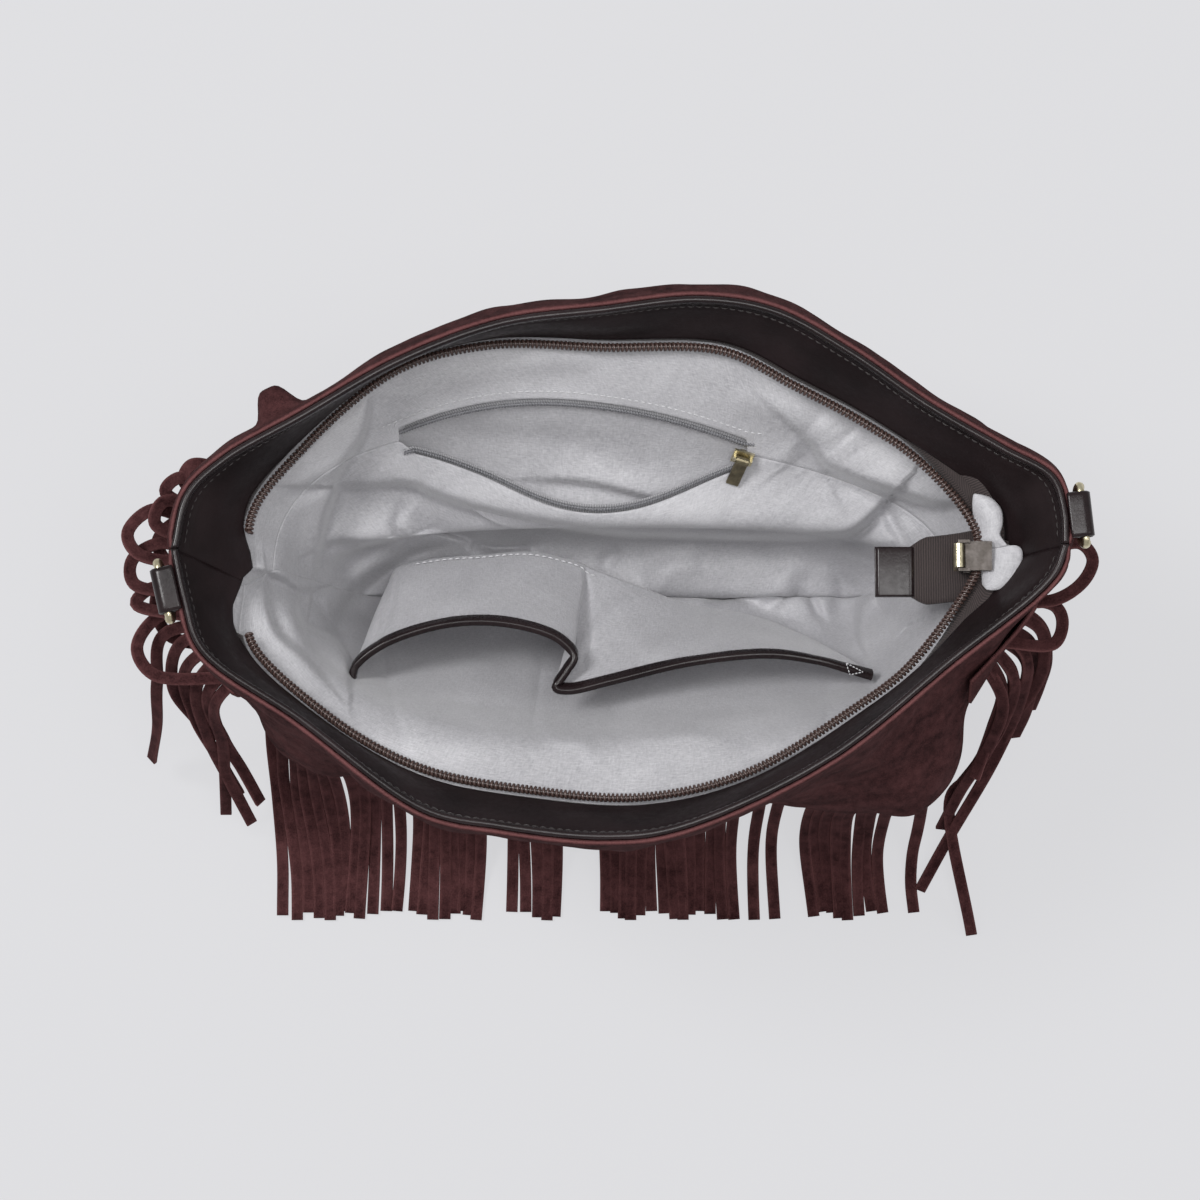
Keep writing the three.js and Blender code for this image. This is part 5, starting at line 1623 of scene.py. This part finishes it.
@dataclass
class Lining:
    """Satin lining: a front and a back wall that meet in a seam at the bottom, in folds.

    The folds rise straight towards the viewer, so that they keep the places where the picture shows them.
    """

    form: BagForm
    studio: Studio
    thickness: float = 0.8
    columns: int = 350
    rows: int = 118
    bottom: float = 95.0
    flatten_height: float = 128.0
    pocket: tuple[float, float] = (0.672, 0.89)
    pocket_heights: tuple[float, float] = (174.0, 187.0)
    pocket_rise: float = 6.0
    pocket_gape: float = 21.0
    pocket_half_mouth: float = 4.8
    pocket_end_share: float = 0.03
    upper_rows: int = 30
    rows_saved: int = 26
    collar_drops: tuple[float, ...] = (-8.0, -3.0, 0.0, 2.2, 4.4)
    unevenness: float = 0.5
    fade_length: float = 8.0
    seam_length: float = 6.0
    lobe_dome: float = 3.0
    lobe_power: float = 0.7
    lobe_points: tuple[int, int] = (60, 24)

    def pocket_edge(self, s: Array, side: int) -> Array:
        """Height of an edge of the zip pocket's mouth; side 1 is the upper one, -1 the lower."""
        a = (s - self.pocket[0]) / (self.pocket[1] - self.pocket[0])
        middle = mix(self.pocket_heights[0], self.pocket_heights[1], a)
        swell = self.pocket_rise if side > 0 else self.pocket_gape
        inside = np.clip(a, 0, 1)
        open_ = smooth_step(a / self.pocket_end_share) * smooth_step((1 - a) / self.pocket_end_share)
        return middle + side * open_ * (self.pocket_half_mouth + swell * np.sin(np.pi * inside))

    def lifted(self, s: Array, z: Array, drape: Array | float, layer: Array | float = 0.0) -> Array:
        """Point off the plain face: its folds rise straight to the viewer, and layers along the normal."""
        normal = -self.form.normal(self.form.lining_face, s, z)
        lean = 0.25 + 0.75 * smooth_step((self.flatten_height - z) / (self.flatten_height - self.bottom))
        way = unit(mix(normal, np.array([0, 0, 1.0]), lean[..., None]))
        face = self.form.lining_face(s, z)
        view = unit(np.array(self.studio.eye) - face)
        point = face + view * np.asarray(drape)[..., None] + way * np.asarray(layer)[..., None]
        seam = smooth_step((self.bottom + self.seam_length - z) / self.seam_length)[..., None]
        middle = point * [1, 0, 1] + [0, self.form.lining_end_y, 0]
        return mix(point, middle, seam)

    def drape(self, s: Array, z: Array) -> Array:
        """Height of the folds, and of a faint unevenness. Both fade at the top edge."""
        spots = self.studio.pixels(self.form.on_lining(s, z, np.zeros(z.shape)))
        lift = sum(fold.lift(spots) for fold in FOLDS)
        fade = smooth_step((self.form.lining_top(s)[..., 2] - z) / self.fade_length)
        uneven = ripple(spots[..., 0] / PIXELS_PER_MM, spots[..., 1] / PIXELS_PER_MM, 7, 7, 60)
        return (lift + self.unevenness * uneven) * fade

    def cloth(self, s: Array, z: Array) -> Part:
        """A sheet of cloth between its draped face and the same face sunk by its thickness."""
        lift = self.drape(s, z)
        return slab(self.lifted(s, z, lift), self.lifted(s, z, lift, -self.thickness), 0.0)

    def collar(self, span: tuple[float, float]) -> Part:
        """The cloth's top edge, from under the facing down to where the wall starts."""
        s = grid(span[0], span[1], self.columns)[:, None]
        down = np.array(self.collar_drops)[None]
        s, down = np.broadcast_arrays(s, down)
        layer = -self.form.lining_layer
        outer = self.form.on_facing(s, down, layer + 0 * s)
        return slab(outer, self.form.on_facing(s, down, layer - self.thickness + 0 * s), 0.0)

    def wall(self, span: tuple[float, float], slit: bool) -> Part:
        """One wall of the lining, with a slit left open for the zip pocket where asked.

        Above the slit the rows run from the top edge to the slit's upper edge, and below it from
        its lower edge to the bottom seam. Outside the pocket both edges are one line.

        Args:
            span: its first and last place.
            slit: true for the wall with the zip pocket.

        Returns:
            The wall with its collar.
        """
        s = grid(span[0], span[1], self.columns)[:, None]
        top = self.form.lining_top(s)[..., 2]
        parts = [self.collar(span)]
        if slit:
            spans = [
                (top, self.pocket_edge(s, 1), self.upper_rows),
                (self.pocket_edge(s, -1), self.bottom, self.rows - self.rows_saved),
            ]
        else:
            spans = [(top, self.bottom, self.rows)]
        for high, low, rows in spans:
            z = mix(high, low, grid(0, 1, rows)[None])
            parts.append(self.cloth(np.broadcast_to(s, z.shape), z))
        return joined(parts)

    def gusset(self, rails: Sequence["Rail"]) -> Part:
        """A lobe of cloth beyond the slider: from its outer line to its inner one, domed between."""
        along, across = self.lobe_points
        outer, inner = rail_lines(self.studio, rails, along)
        v = grid(0, 1, across)[None, :, None]
        points = mix(outer[:, None], inner[:, None], v)
        u = grid(0, 1, along)[:, None, None]
        dome = (np.sin(np.pi * v) * np.sin(np.pi * u)) ** self.lobe_power
        points = points + np.array([0, 0, self.lobe_dome]) * dome
        return slab(points, thickened(points, self.thickness), 0.0)

    def build(self, wardrobe: Wardrobe) -> None:
        """Makes both walls, and the two lobes of cloth beside the slider, sewn to the back wall."""
        front, back = (0.0, 0.4999999), (0.5, 0.9999999)
        made = piece("satin_front", self.wall(front, False), wardrobe.satin, ["lining_front"])
        cloth = joined([self.wall(back, True), self.gusset(UPPER_LOBE), self.gusset(LOWER_LOBE)])
        made = piece("satin_back", cloth, wardrobe.satin, ["lining_back"])


@dataclass
class ZipPocket:
    """Pocket in the back lining: tapes, coils, bag, and its slider with a flat pull."""

    lining: Lining
    tape_width: float = 7.0
    tape_thickness: float = 0.8
    coil_radius: float = 1.0
    wire: float = 0.33
    pitch: float = 1.15
    layer: float = -1.4
    seam_distance: float = 3.4
    shut_share: float = 0.03
    bag_over: float = 1.7
    bag_under: float = 3.5
    bag_sag: float = 15.0
    bag_bow: float = 6.0
    bow_share: float = 0.74
    bag_depth: float = 2.6
    bag_unevenness: float = 0.4
    creases: tuple[Fold, ...] = (
        Fold(((536, 480), (560, 481), (590, 484), (625, 492), (676, 505)), 4, -3.5, STEP, 22),
        Fold(((440, 432), (520, 436), (600, 446)), 14, -1.5),
    )

    def edge(self, a: Array, side: int, inward: Array | float, lift: Array | float) -> Array:
        """Point beside an edge of the mouth, into the opening by inward and off the lining by lift."""
        low, high = self.lining.pocket
        s = mix(low, high, a)
        z = self.lining.pocket_edge(mix(low, high, np.clip(a, self.shut_share, 1 - self.shut_share)), side)
        drape = self.lining.drape(s, z)
        point = self.lining.lifted(s, z, drape, lift)
        down = unit(self.lining.lifted(s, z - 1, drape) - self.lining.lifted(s, z + 1, drape))
        return point + down * side * np.asarray(inward)[..., None]

    def tape(self, side: int) -> Part:
        """Tape behind an edge of the mouth, showing half its width inside."""
        a = grid(0.0, 1.0, 120)[:, None]
        inward = grid(-self.tape_width / 2, self.tape_width / 2, 7)[None]
        a, inward = np.broadcast_arrays(a, inward)
        under = self.edge(a, side, inward, self.layer - self.tape_thickness)
        return slab(self.edge(a, side, inward, self.layer), under, 0.0)

    def coil(self, side: int) -> Part:
        """Coil along the inner edge of a tape."""
        a = grid(0.0, 1.0, 400)
        inward = self.tape_width / 2 - self.coil_radius
        centre = self.edge(a, side, inward, -0.1)
        reach = unit(self.edge(a, side, inward + 1, -0.1) - centre)
        rise = unit(self.edge(a, side, inward, 0.9) - centre)
        helix = coil_helix(centre, reach, rise, self.coil_radius - self.wire, self.wire, self.pitch)
        return joined([helix, swept(centre, reach, rise, oval(1.1, 1.0, 6))])

    def bag(self) -> Part:
        """Bag of the pocket, sunk from the lining away from the viewer, deepest below the upper tape."""
        a = grid(0.0, 1.0, 130)[:, None]
        share = grid(0, 1, 60)[None]
        low, high = self.lining.pocket
        s = mix(low, high, a)
        full = np.sqrt(np.sin(np.pi * mix(0.04, 0.96, a)))
        top = self.lining.pocket_edge(s, 1) + self.bag_over
        bottom = self.lining.pocket_edge(s, -1) - self.bag_under - self.bag_sag * full
        z = mix(top, bottom, share)
        s = np.broadcast_to(s, z.shape)
        spots = self.lining.studio.pixels(self.lining.form.on_lining(s, z, 0 * z))
        bow = self.bag_bow * full * np.sin(np.pi * np.minimum(1, share / self.bow_share))
        uneven = ripple(spots[..., 0] / PIXELS_PER_MM, spots[..., 1] / PIXELS_PER_MM, 31, 6, 40)
        depth = self.bag_depth + bow + self.bag_unevenness * uneven
        depth = np.maximum(depth - sum(fold.lift(spots) for fold in self.creases), self.bag_depth)
        outer = self.lining.lifted(s, z, -depth)
        return slab(outer, self.lining.lifted(s, z, -depth - self.lining.thickness), 0.0)

    def seam(self, side: int) -> Part:
        """Row of stitches a few millimetres outside an edge."""
        a = grid(-0.01, 1.01, 200)
        outside = -self.seam_distance
        line = Route(self.edge(a, side, outside + 0 * a, 0.0 * a))

        def rise(share: Array) -> Array:
            """Direction off the lining at shares of the row."""
            place = mix(a[0], a[-1], share)
            raised = self.edge(place, side, outside + 0 * place, 1 + 0 * place)
            return unit(raised - self.edge(place, side, outside + 0 * place, 0 * place))

        return stitches(line, rise, 2.6, 0.55)

    def build(self, wardrobe: Wardrobe) -> None:
        """Makes all pieces of the pocket and finishes its slider and pull."""
        for name, side in (("upper", 1), ("lower", -1)):
            piece(
                f"pocket_woven_{name}", self.tape(side), wardrobe.grey_tape,
                [f"pocket_tape_{name}"]
            )
            piece(
                f"pocket_wound_{name}", self.coil(side), wardrobe.grey_coil,
                [f"pocket_coil_{name}"]
            )
            piece(f"pocket_stitches_{name}", self.seam(side), wardrobe.grey_thread)
        made = piece("pocket_satin_bag", self.bag(), wardrobe.satin, ["zip_pocket_bag"])
        finish_metal("pocket_zip_slider", wardrobe.brass)
        finish_metal("pocket_pull_tab", wardrobe.aged)


SLIP_RAILS = (
    Rail((341, 695), 163, (380, 612), 128),
    Rail((350, 686), 166, (384, 598), 124),
    Rail((356, 666), 168, (389, 580), 121),
    Rail((383, 645), 170, (398, 567), 120),
    Rail((434, 627), 170, (432, 559), 120),
    Rail((485, 622), 170, (479, 555), 120),
    Rail((536, 630), 170, (530, 552), 120),
    Rail((563, 643), 170, (568, 559), 120),
    Rail((574, 658), 170, (584, 564), 120),
    Rail((566, 672), 170, (589, 567), 120),
    Rail((556, 688), 170, (594, 569), 120),
    Rail((568, 691), 170, (605, 573), 120),
    Rail((613, 681), 170, (640, 587), 120),
    Rail((689, 663), 170, (690, 604), 121),
    Rail((766, 655), 170, (753, 615), 124),
    Rail((817, 661), 169, (803, 634), 134),
    Rail((852, 671), 167, (843, 655), 150),
    Rail((872, 677), 165, (869, 673), 161),
)


@dataclass
class SlipPocket:
    """Open pocket on the front lining: two bellies, a sewn line between, and a leather edge."""

    studio: Studio
    edge_thickness: float = 3.2
    edge_height: float = 5.4
    cloth: float = 0.8
    sag: float = 3.0
    tack: tuple[tuple[float, float], ...] = ((846, 663), (863, 672), (850, 675), (846, 663))
    creases: tuple[Fold, ...] = (
        Fold(((398, 572), (392, 600), (384, 628), (378, 642)), 3.0, -1.6),
        Fold(((391, 574), (385, 602), (377, 630), (371, 645)), 3.0, -1.4),
        Fold(((585, 565), (589, 603), (588, 640), (584, 660)), 2.6, -1.6),
        Fold(((466, 565), (462, 590), (452, 615)), 9.0, 0.9),
        Fold(((640, 590), (600, 625), (580, 655)), 8.0, 1.2),
        Fold(((720, 610), (680, 640), (640, 660)), 12.0, 1.0),
        Fold(((700, 612), (760, 630), (820, 650)), 8.0, -1.2),
    )

    def face(self, count: int, shares: Array) -> Array:
        """Grid of the cloth's face: straight from edge to foot, bowed a little, with its creases."""
        edge, foot = rail_lines(self.studio, SLIP_RAILS, count)
        v = shares[None, :, None]
        points = mix(edge[:, None], foot[:, None], v)
        points = points + np.array([0, 0.55, -0.8]) * self.sag * np.sin(np.pi * v)
        spots = self.studio.pixels(points)
        lift = sum(fold.lift(spots) for fold in self.creases) + 0.3 * ripple(
            spots[..., 0] / PIXELS_PER_MM, spots[..., 1] / PIXELS_PER_MM, 3, 6, 50
        )
        return points + np.array([0, 0.6, 0.8]) * (lift * smooth_step(shares * 12))[..., None]

    def panel(self) -> Part:
        """The cloth of the pocket."""
        points = self.face(330, grid(0, 1, 70))
        return slab(points, thickened(points, self.cloth), 0.0)

    def edge_frame(self, count: int) -> tuple[Array, Array, Array]:
        """The leather edge's middle line, and unit vectors off the cloth and down it."""
        points = self.face(count, np.array([0.0, 0.09]))
        top, low = points[:, 0], points[:, 1]
        down = unit(low - top)
        along = unit(np.gradient(top, axis=0))
        off = unit(np.cross(down, along))
        return top + down * (self.edge_height / 2 - 1.2), off, unit(np.cross(along, off))

    def edge(self) -> Part:
        """Leather folded over the cloth's top edge: a strip with round corners."""
        line, off, down = self.edge_frame(520)
        return swept(line, off, down, oval(self.edge_thickness, self.edge_height, 20, 0.6))

    def seams(self) -> Part:
        """Stitches along the right half of the leather edge, the triangular tack and the foot's seam."""
        line, off, down = self.edge_frame(520)
        half = slice(290, 505)
        upper = Route((line + off * (self.edge_thickness / 2) + down * 0.5)[half])
        rows = [
            stitches(upper, lambda share: np.broadcast_to([0, 0.3, 0.95], (*share.shape, 3)), 2.3, 0.5, 0.1)
        ]
        spots = np.array(self.tack)
        tack = Route(self.studio.place(spots, np.full(len(spots), 168.5)))
        rows.append(
            stitches(tack, lambda share: np.broadcast_to([0, 0.1, 1.0], (*share.shape, 3)), 1.3, 0.5, 0.2)
        )
        foot = self.face(330, np.array([0.94]))[:, 0]
        sewn = Route(foot[52:165] + np.array([0, 0.3, 0.6]))
        rows.append(
            stitches(sewn, lambda share: np.broadcast_to([0, 0.3, 0.95], (*share.shape, 3)), 2.6, 0.7, 0.1)
        )
        return joined(rows)

    def build(self, wardrobe: Wardrobe) -> None:
        """Makes the cloth, its leather edge and its stitches."""
        made = piece("slip_satin", self.panel(), wardrobe.satin, ["slip_pocket_panel"])
        piece("slip_leather_edge", self.edge(), wardrobe.edge_leather, ["slip_pocket_binding"])
        piece("slip_stitches", self.seams(), wardrobe.grey_thread)


# Rings


@dataclass
class StrapRing:
    """A brass D ring in its leather tab at one tip of the mouth."""

    form: BagForm
    side: str
    place: float
    wire: float = 1.5
    bow_wire: float = 1.85
    width: float = 24.0
    drop: float = 17.0
    corner: float = 2.0
    tab_width: float = 16.0
    leather: float = 1.6
    bore: float = 0.3

    def axes(self) -> tuple[Array, Array, Array]:
        """Middle of the ring's bar, and unit vectors out of the bag and along the bar."""
        s = np.array([self.place])
        out = self.form.rim.outward(s)[0]
        reach = self.form.edge_outset + 0.3 + self.roll_radius
        middle = self.form.rim.at(s)[0] + out * reach
        middle[2] = self.form.wall_top(s)[0] + 0.3 + self.leather - self.roll_radius
        return middle, out, np.array([-out[1], out[0], 0.0])

    @property
    def roll_radius(self) -> float:
        """Outer radius of the leather round the bar."""
        return self.wire + self.bore + self.leather

    def ring(self) -> Part:
        """The D: a straight bar, two tight corners and a half-oval bow, as a round wire."""
        middle, out, along = self.axes()
        half = self.width / 2 - self.wire
        bow = self.drop - 2 * self.wire - self.corner
        quarter = np.linspace(0, np.pi / 2, 7)
        turn = np.linspace(0, np.pi, 40)[1:-1]
        c = self.corner
        right = np.stack([half - c + c * np.sin(quarter), -c + c * np.cos(quarter)], 1)
        round_ = np.stack([half * np.cos(turn), -c - bow * np.sin(turn)], 1)
        left = right[::-1] * [-1, 1]
        bar = np.stack([np.linspace(c - half, half - c, 12)[1:-1], np.zeros(10)], 1)
        path = np.vstack([right, round_, left, bar])
        step = unit(np.roll(path, -1, 0) - np.roll(path, 1, 0))
        thick = np.where(path[:, 1] > -0.6, self.wire, self.bow_wire)[:, None]
        side = np.stack([-step[:, 1], step[:, 0]], 1)
        profile = oval(2.0, 2.0, 16)
        flat = path[:, None] + side[:, None] * profile[None, :, :1] * thick[:, None]
        rings = middle + flat[..., :1] * along + flat[..., 1:] * np.array([0, 0, 1.0])
        return tube(rings + out * profile[None, :, 1:2] * thick[:, None], True)

    def tab(self) -> Part:
        """Leather wrapped round the bar: a roll, and a tongue that lies over the suede's edge."""
        middle, out, along = self.axes()
        outer, inner = self.roll_radius, self.wire + self.bore
        tongue = outer + 0.3 + self.form.edge_outset - self.form.binding[0] / 2 - 0.6
        angle = np.linspace(-1.45 * np.pi, np.pi / 2, 40)
        lip = np.stack([np.linspace(0, -tongue, 8)[1:], np.full(7, 1.0)], 1)
        rolled = np.stack([np.cos(angle), np.sin(angle)], 1)
        path_out = np.vstack([rolled * outer, lip * [1, outer]])
        path_in = np.vstack([rolled * inner, lip * [1, inner + 0.0]])
        width = grid(-self.tab_width / 2, self.tab_width / 2, 14)
        worn = 1 - 0.05 * np.abs(np.linspace(-1, 1, 14)) ** 6

        def face(path: Array) -> Array:
            """Points of one face over the tab's width."""
            flat = path[:, None] * np.stack([np.ones(14), worn], 1)[None]
            up = np.array([0, 0, 1.0])
            return middle + flat[..., :1] * out + flat[..., 1:] * up + width[None, :, None] * along

        return slab(face(path_out), face(path_in), 0.0)

    def build(self, wardrobe: Wardrobe) -> None:
        """Makes ring and tab."""
        made = piece(f"brass_ring_{self.side}", self.ring(), wardrobe.brass)
        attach(made, f"ring_{self.side}")
        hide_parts(f"ring_{self.side}")
        piece(
            f"leather_tab_{self.side}", self.tab(), wardrobe.edge_leather,
            [f"ring_tab_{self.side}"]
        )


# Fringe


@dataclass(frozen=True)
class StrandGroup:
    """Strands that hang together: how many, their share of the strip, and where they end in X."""

    count: int
    top: tuple[float, float]
    end: tuple[float, float]


@dataclass
class FrontFringe:
    """Strip with strands that fall from the front seam and lie out on the floor in a straight line."""

    form: BagForm
    shell: Shell
    strand_width: float = 4.9
    strand_thickness: float = 1.6
    end_y: float = -123.0
    start: float = 0.03
    finish: float = 0.455
    stray: float = 1.3
    groups: tuple[StrandGroup, ...] = (
        StrandGroup(2, (0.07, 0.115), (-144.5, -138.6)),
        StrandGroup(7, (0.14, 0.228), (-131.8, -109.6)),
        StrandGroup(2, (0.241, 0.254), (-105, -100.3)),
        StrandGroup(1, (0.272, 0.272), (-93.9, -93.9)),
        StrandGroup(8, (0.292, 0.368), (-86.4, -59.3)),
        StrandGroup(5, (0.408, 0.46), (-44.8, -25.9)),
        StrandGroup(14, (0.516, 0.668), (-5.9, 49)),
        StrandGroup(2, (0.699, 0.721), (60.1, 67.9)),
        StrandGroup(8, (0.76, 0.846), (83.6, 112.9)),
        StrandGroup(1, (0.893, 0.893), (127.4, 127.4)),
    )

    def strand(self, share: float, end_x: float, turn: float) -> Part:
        """One strand: down off the seam, out over the wall and flat on the floor, square cut."""
        s = np.array([mix(self.start, self.finish, share)])
        layer = -(self.shell.fringe_layer + self.strand_thickness / 2)
        z = np.array([self.shell.panel_edge - 1.5])
        top = self.form.on_wall(s, z, layer + self.shell.softness(s, z))[0]
        out = self.form.normal(self.form.wall_face, s, np.array([self.form.belly[3]]))[0] * [1, 1, 0]
        out = unit(out)
        foot = self.strand_thickness / 2 + 0.2
        end = np.array([end_x, self.end_y + 2 * math.sin(5 * turn), foot])
        up = np.array([0, 0, 1.0])
        flat = np.array([1, 1, 0.0])
        points = [
            top + up * 8,
            top,
            (top + out * 2.5) * flat + up * mix(top[2], foot, 0.38),
            (mix(top, end, 0.16) + out * 4) * flat + up * mix(top[2], foot, 0.72),
            (mix(top, end, 0.42) + out * 2) * flat + up * (foot + 9),
            mix(top, end, 0.72) * flat + up * (foot + 1.2),
            end,
        ]
        route = Route(spline(points, 16))
        u = grid(0, 1, 46)
        line = route.at(u)
        sway = 0.8 * np.sin(5.0 * u + 7 * turn) * u * (1 - u) * 4
        line = line + np.stack([sway, 0 * u, 0 * u], 1)
        facing = mix(np.cross(out, up)[None], np.array([[-1.0, 0, 0]]), smooth_step(2 * u)[:, None])
        along = unit(np.gradient(line, axis=0))
        across = unit(facing - along * (facing * along).sum(1, keepdims=True))
        off = np.cross(along, across)
        twist = (0.3 * np.sin(3 * u + 3 * turn) * u)[:, None]
        across, off = (
            across * np.cos(twist) + off * np.sin(twist),
            off * np.cos(twist) - across * np.sin(twist),
        )
        profile, raw = strap_profile(self.strand_width, self.strand_thickness)
        return swept(line, across, off, profile, raw=raw)

    def header(self) -> Part:
        """The strip that the strands are cut from, between the two front panels."""
        s, z = np.meshgrid(grid(self.start, self.finish, 160), grid(107, 93, 5), indexing="ij")
        off = self.shell.softness(s, z) - self.shell.fringe_layer
        return slab(self.form.on_wall(s, z, off), self.form.on_wall(s, z, off - self.strand_thickness))

    def build(self, wardrobe: Wardrobe) -> None:
        """Makes strip and strands as one piece."""
        parts = [self.header()]
        for group in self.groups:
            shares = np.linspace(0, 1, group.count) if group.count > 1 else np.zeros(1)
            for k, a in enumerate(shares):
                turn = k + group.end[0]
                end = float(mix(*group.end, a)) + self.stray * math.sin(7.3 * turn)
                parts.append(self.strand(float(mix(*group.top, a)) + 0.002 * math.sin(9.1 * turn), end, turn))
        piece("suede_fringe", joined(parts), wardrobe.suede, ["front_fringe"])


@dataclass
class SideLacing:
    """Band at one end of the bag with thongs looped through it and hanging strands."""

    form: BagForm
    side: str
    span: tuple[float, float]
    thongs: tuple[tuple[tuple[float, float, float], ...], ...]
    height: float = 168.0
    band: float = 22.0
    width: float = 4.8
    thickness: float = 1.7

    def thong(self, points: Sequence[tuple[float, float, float]], seed: int) -> Part:
        """One thong: a strap carried along its route, turning a little on the way."""
        line = Route(spline(points, 16)).at(grid(0, 1, 60))
        u = grid(0, 1, 60)
        across, off = turned_frames(line, np.array([0.02, 0.03, 1.0]), 0.35 * np.sin(5 * u + seed))
        profile, raw = strap_profile(self.width, self.thickness)
        return swept(line, across, off, profile, raw=raw)

    def build(self, wardrobe: Wardrobe) -> None:
        """Makes band and thongs as one piece."""
        s, z = np.meshgrid(
            grid(*self.span, 60), grid(self.height + self.band / 2, self.height - self.band / 2, 12),
            indexing="ij"
        )
        band = slab(self.form.on_wall(s, z, 2.6 + 0 * z), self.form.on_wall(s, z, 0.8 + 0 * z))
        parts = [band] + [self.thong(points, k) for k, points in enumerate(self.thongs)]
        piece(f"thongs_{self.side}", joined(parts), wardrobe.suede, [f"lacing_{self.side}"])


LEFT_THONGS = (
    ((-150, 34, 180), (-166, 39, 190), (-163, 45, 192), (-146, 43, 180)),
    ((-154, 26, 180), (-173, 35, 190), (-168, 40, 192), (-150, 36, 178)),
    ((-156, 16, 178), (-177, 23, 188), (-174, 31, 190), (-154, 30, 176)),
    ((-157, 8, 178), (-184, 12, 184), (-188, 20, 184), (-178, 29, 184), (-156, 20, 176)),
    ((-157, 10, 172), (-176, 17, 176), (-187, 10, 178), (-186, 1, 178), (-157, -2, 172)),
    ((-156, -2, 172), (-180, 0, 172), (-186, -6, 172), (-155, -12, 170)),
    ((-154, -8, 168), (-178, -10, 164), (-187, -22, 160), (-181, -32, 158), (-148, -34, 164)),
    ((-154, -12, 166), (-176, -16, 158), (-184, -32, 120), (-190, -46, 70), (-198, -57, 22)),
    ((-150, -22, 166), (-164, -34, 150), (-166, -52, 100), (-161, -68, 60), (-155, -84, 26)),
    ((-147, -28, 166), (-160, -38, 150), (-159, -54, 100), (-155, -64, 66), (-150, -76, 40)),
    ((-145, -32, 166), (-157, -42, 150), (-160, -56, 96), (-163, -68, 58), (-166, -80, 24)),
    ((-150, -18, 168), (-168, -28, 152), (-171, -44, 104), (-166, -58, 62), (-160, -72, 30)),
    ((-152, -14, 170), (-170, -20, 158), (-177, -34, 126), (-172, -44, 96), (-164, -52, 84)),
    ((-153, 4, 170), (-172, 6, 168), (-180, -4, 160), (-176, -16, 150), (-150, -22, 160)),
    ((-152, 20, 172), (-168, 26, 176), (-178, 18, 172), (-172, 8, 168), (-155, 4, 168)),
)
RIGHT_THONGS = (
    ((156, 10, 178), (176, 16, 184), (181, 10, 184), (178, 2, 182), (168, -5, 180), (150, -6, 174)),
    ((152, -4, 172), (168, -7, 172), (171, -13, 170), (168, -21, 166), (146, -20, 166)),
    ((152, -6, 166), (163, -12, 158), (171, -22, 120), (173, -30, 80), (172, -38, 56)),
    ((148, -14, 166), (160, -18, 150), (167, -28, 110), (168, -40, 76), (166, -49, 50)),
    ((146, -18, 166), (158, -24, 150), (163, -34, 110), (156, -60, 60), (140, -92, 20), (130, -112, 4)),
    ((144, -22, 166), (154, -30, 146), (156, -44, 100), (146, -66, 60), (140, -76, 34), (152, -131, 3)),
    ((142, -26, 166), (150, -36, 146), (150, -50, 110), (148, -60, 90), (146, -68, 80)),
    ((146, -14, 166), (158, -24, 156), (160, -40, 120), (158, -52, 70), (152, -60, 30)),
    ((143, -20, 164), (154, -32, 150), (155, -46, 110), (150, -60, 60), (144, -70, 26)),
    ((149, -8, 168), (163, -14, 160), (168, -26, 134), (166, -36, 104), (160, -44, 84)),
    ((140, -26, 162), (150, -40, 146), (150, -56, 100), (143, -72, 52), (138, -86, 18)),
)


# Whole bag


def main() -> None:
    """Builds the studio, then each sub-assembly in the order in which the bag is made."""
    logging.basicConfig(level=logging.INFO, format="%(name)s: %(message)s")
    studio = Studio()
    studio.build()
    form, wardrobe = BagForm(), Wardrobe()
    shell, lining = Shell(form), Lining(form, studio)
    shell.build(wardrobe)
    Rim(form).build(wardrobe)
    MainZip(form).build(wardrobe)
    lining.build(wardrobe)
    ZipPocket(lining).build(wardrobe)
    SlipPocket(studio).build(wardrobe)
    StrapRing(form, "left", 0.017).build(wardrobe)
    StrapRing(form, "right", 0.513).build(wardrobe)
    FrontFringe(form, shell).build(wardrobe)
    SideLacing(form, "left", (-0.06, 0.06), LEFT_THONGS).build(wardrobe)
    SideLacing(form, "right", (0.44, 0.536), RIGHT_THONGS).build(wardrobe)


if __name__ == "__main__":
    main()
